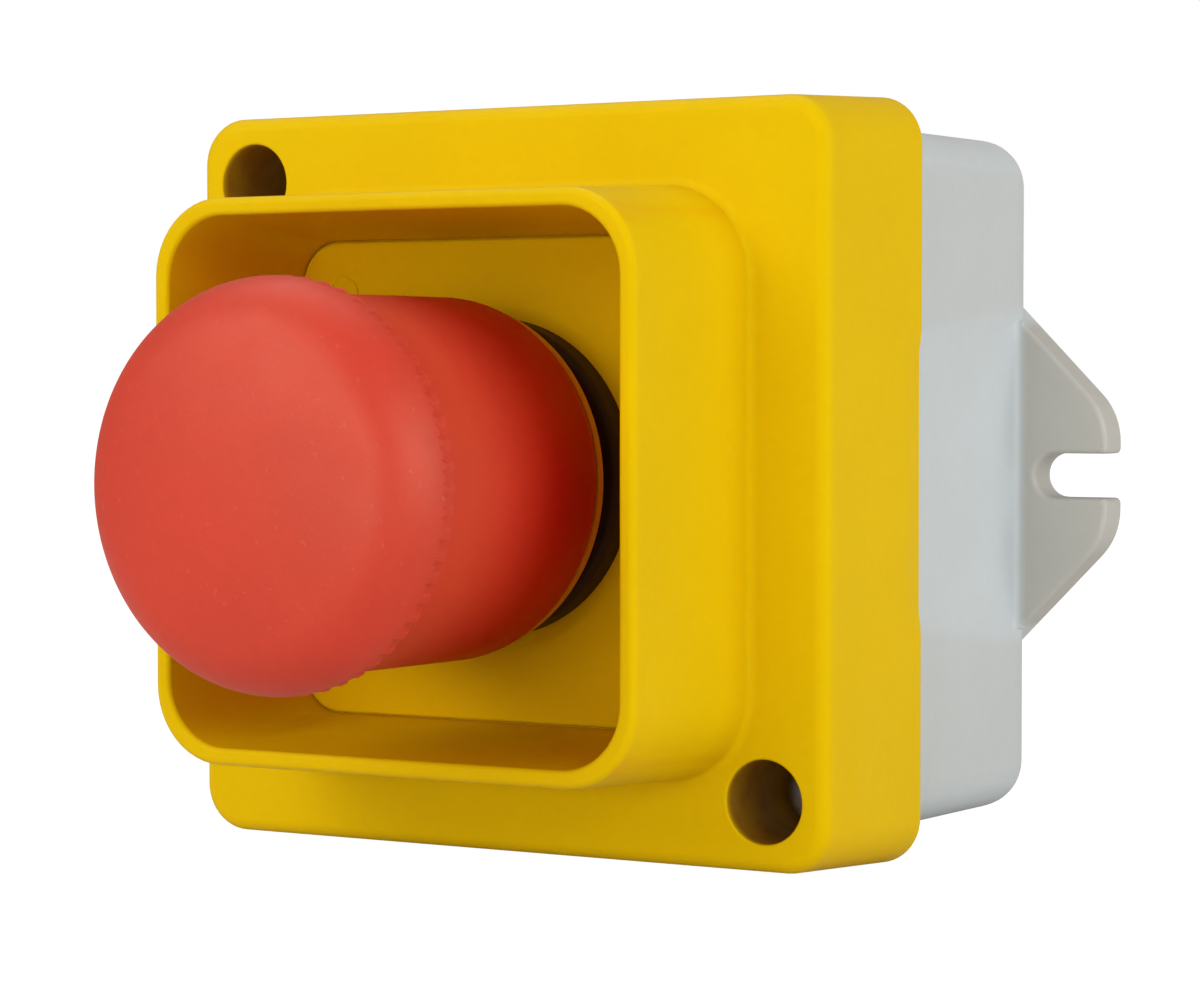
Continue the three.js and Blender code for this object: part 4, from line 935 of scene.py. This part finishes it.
build_cover()
build_base()
build_cap()
build_neck()
build_ring()
build_actuator()
build_screw("screw_upper_left", "cover_screw_upper_left", -SCREW_OFFSET, SCREW_OFFSET, 24.0)
build_screw("screw_lower_right", "cover_screw_lower_right", SCREW_OFFSET, -SCREW_OFFSET, -17.0)
build_spring("return_coil", "return_spring", 0.5)
build_spring("contact_coil_left", "contact_spring_left", 0.25)
build_spring("contact_coil_right", "contact_spring_right", 0.25)

# ---------------------------------------------------------------- floor, lights and camera


def build_floor():
    """A plain pale floor. Most of what the camera sees of it glows, so that it looks evenly white."""
    reach, z = 6.0, cad_low.z
    vertices = [(-reach, -reach, z), (reach, -reach, z), (reach, reach, z), (-reach, reach, z)]
    mesh = bpy.data.meshes.new("floor")
    mesh.from_pydata(vertices, [], [(0, 1, 2, 3)])
    floor = bpy.data.objects.new("floor", mesh)
    bpy.context.scene.collection.objects.link(floor)
    material = bpy.data.materials.new("pale_floor")
    material.use_nodes = True
    tree = material.node_tree
    shader = tree.nodes["Principled BSDF"]
    shader.inputs["Base Color"].default_value = (0.74, 0.73, 0.71, 1.0)
    shader.inputs["Roughness"].default_value = 0.9
    shader.inputs["Specular IOR Level"].default_value = 0.1
    glow = tree.nodes.new("ShaderNodeEmission")
    glow.inputs["Strength"].default_value = 1.25
    path = tree.nodes.new("ShaderNodeLightPath")
    share = tree.nodes.new("ShaderNodeMath")
    share.operation = "MULTIPLY"
    link(tree, path.outputs["Is Camera Ray"], share.inputs[0])
    share.inputs[1].default_value = 0.8
    mix = tree.nodes.new("ShaderNodeMixShader")
    link(tree, share.outputs[0], mix.inputs[0])
    link(tree, shader.outputs[0], mix.inputs[1])
    link(tree, glow.outputs[0], mix.inputs[2])
    link(tree, mix.outputs[0], tree.nodes["Material Output"].inputs["Surface"])
    mesh.materials.append(material)


def build_world():
    """Dim warm light from all round. The camera sees it as white."""
    world = bpy.data.worlds.new("studio")
    bpy.context.scene.world = world
    world.use_nodes = True
    tree = world.node_tree
    background = tree.nodes["Background"]
    background.inputs["Color"].default_value = (1.0, 0.8, 0.64, 1.0)
    background.inputs["Strength"].default_value = 0.32
    seen = tree.nodes.new("ShaderNodeBackground")
    seen.inputs["Color"].default_value = (1.0, 1.0, 1.0, 1.0)
    path = tree.nodes.new("ShaderNodeLightPath")
    mix = tree.nodes.new("ShaderNodeMixShader")
    link(tree, path.outputs["Is Camera Ray"], mix.inputs[0])
    link(tree, background.outputs[0], mix.inputs[1])
    link(tree, seen.outputs[0], mix.inputs[2])
    link(tree, mix.outputs[0], tree.nodes["World Output"].inputs["Surface"])


def softbox(name, position, target, size, power):
    """A soft rectangular light at a place in the CAD model's frame, in metres and watts."""
    light = bpy.data.lights.new(name, "AREA")
    light.shape = "RECTANGLE"
    light.size, light.size_y = size
    light.energy = power
    obj = bpy.data.objects.new(name, light)
    bpy.context.scene.collection.objects.link(obj)
    obj.location = position
    obj.rotation_mode = "QUATERNION"
    obj.rotation_quaternion = (Vector(target) - Vector(position)).to_track_quat("-Z", "Y")


def build_camera():
    """The camera at the photograph's viewing angle."""
    position = Vector((0.19705, -0.34860, 0.01))
    target = Vector((0.01182, -0.05, -0.00176))
    data = bpy.data.cameras.new("camera")
    data.sensor_fit = "HORIZONTAL"
    data.sensor_width = 36.0
    data.lens = 108.89
    data.clip_start = 0.01
    data.clip_end = 50.0
    camera = bpy.data.objects.new("camera", data)
    bpy.context.scene.collection.objects.link(camera)
    camera.location = position
    camera.rotation_mode = "QUATERNION"
    camera.rotation_quaternion = (target - position).to_track_quat("-Z", "Y")
    bpy.context.scene.camera = camera


build_floor()
build_world()
softbox("key", (-0.52, -0.95, 0.6), (0, -0.05, 0), (0.8, 0.8), 5.2)
softbox("fill", (0.95, -0.4, 0.15), (0, -0.04, 0), (0.7, 0.9), 4.7)
softbox("side", (1.0, 0.2, 0.15), (0, -0.06, 0), (0.6, 0.9), 3.7)
softbox("top", (-0.3, 0.1, 1.0), (0, -0.05, 0), (0.8, 0.8), 2.6)
softbox("front", (0.12, -1.28, -0.1), (0, -0.05, 0), (0.6, 0.6), 8.9)
build_camera()
bpy.context.scene.view_settings.view_transform = "Standard"
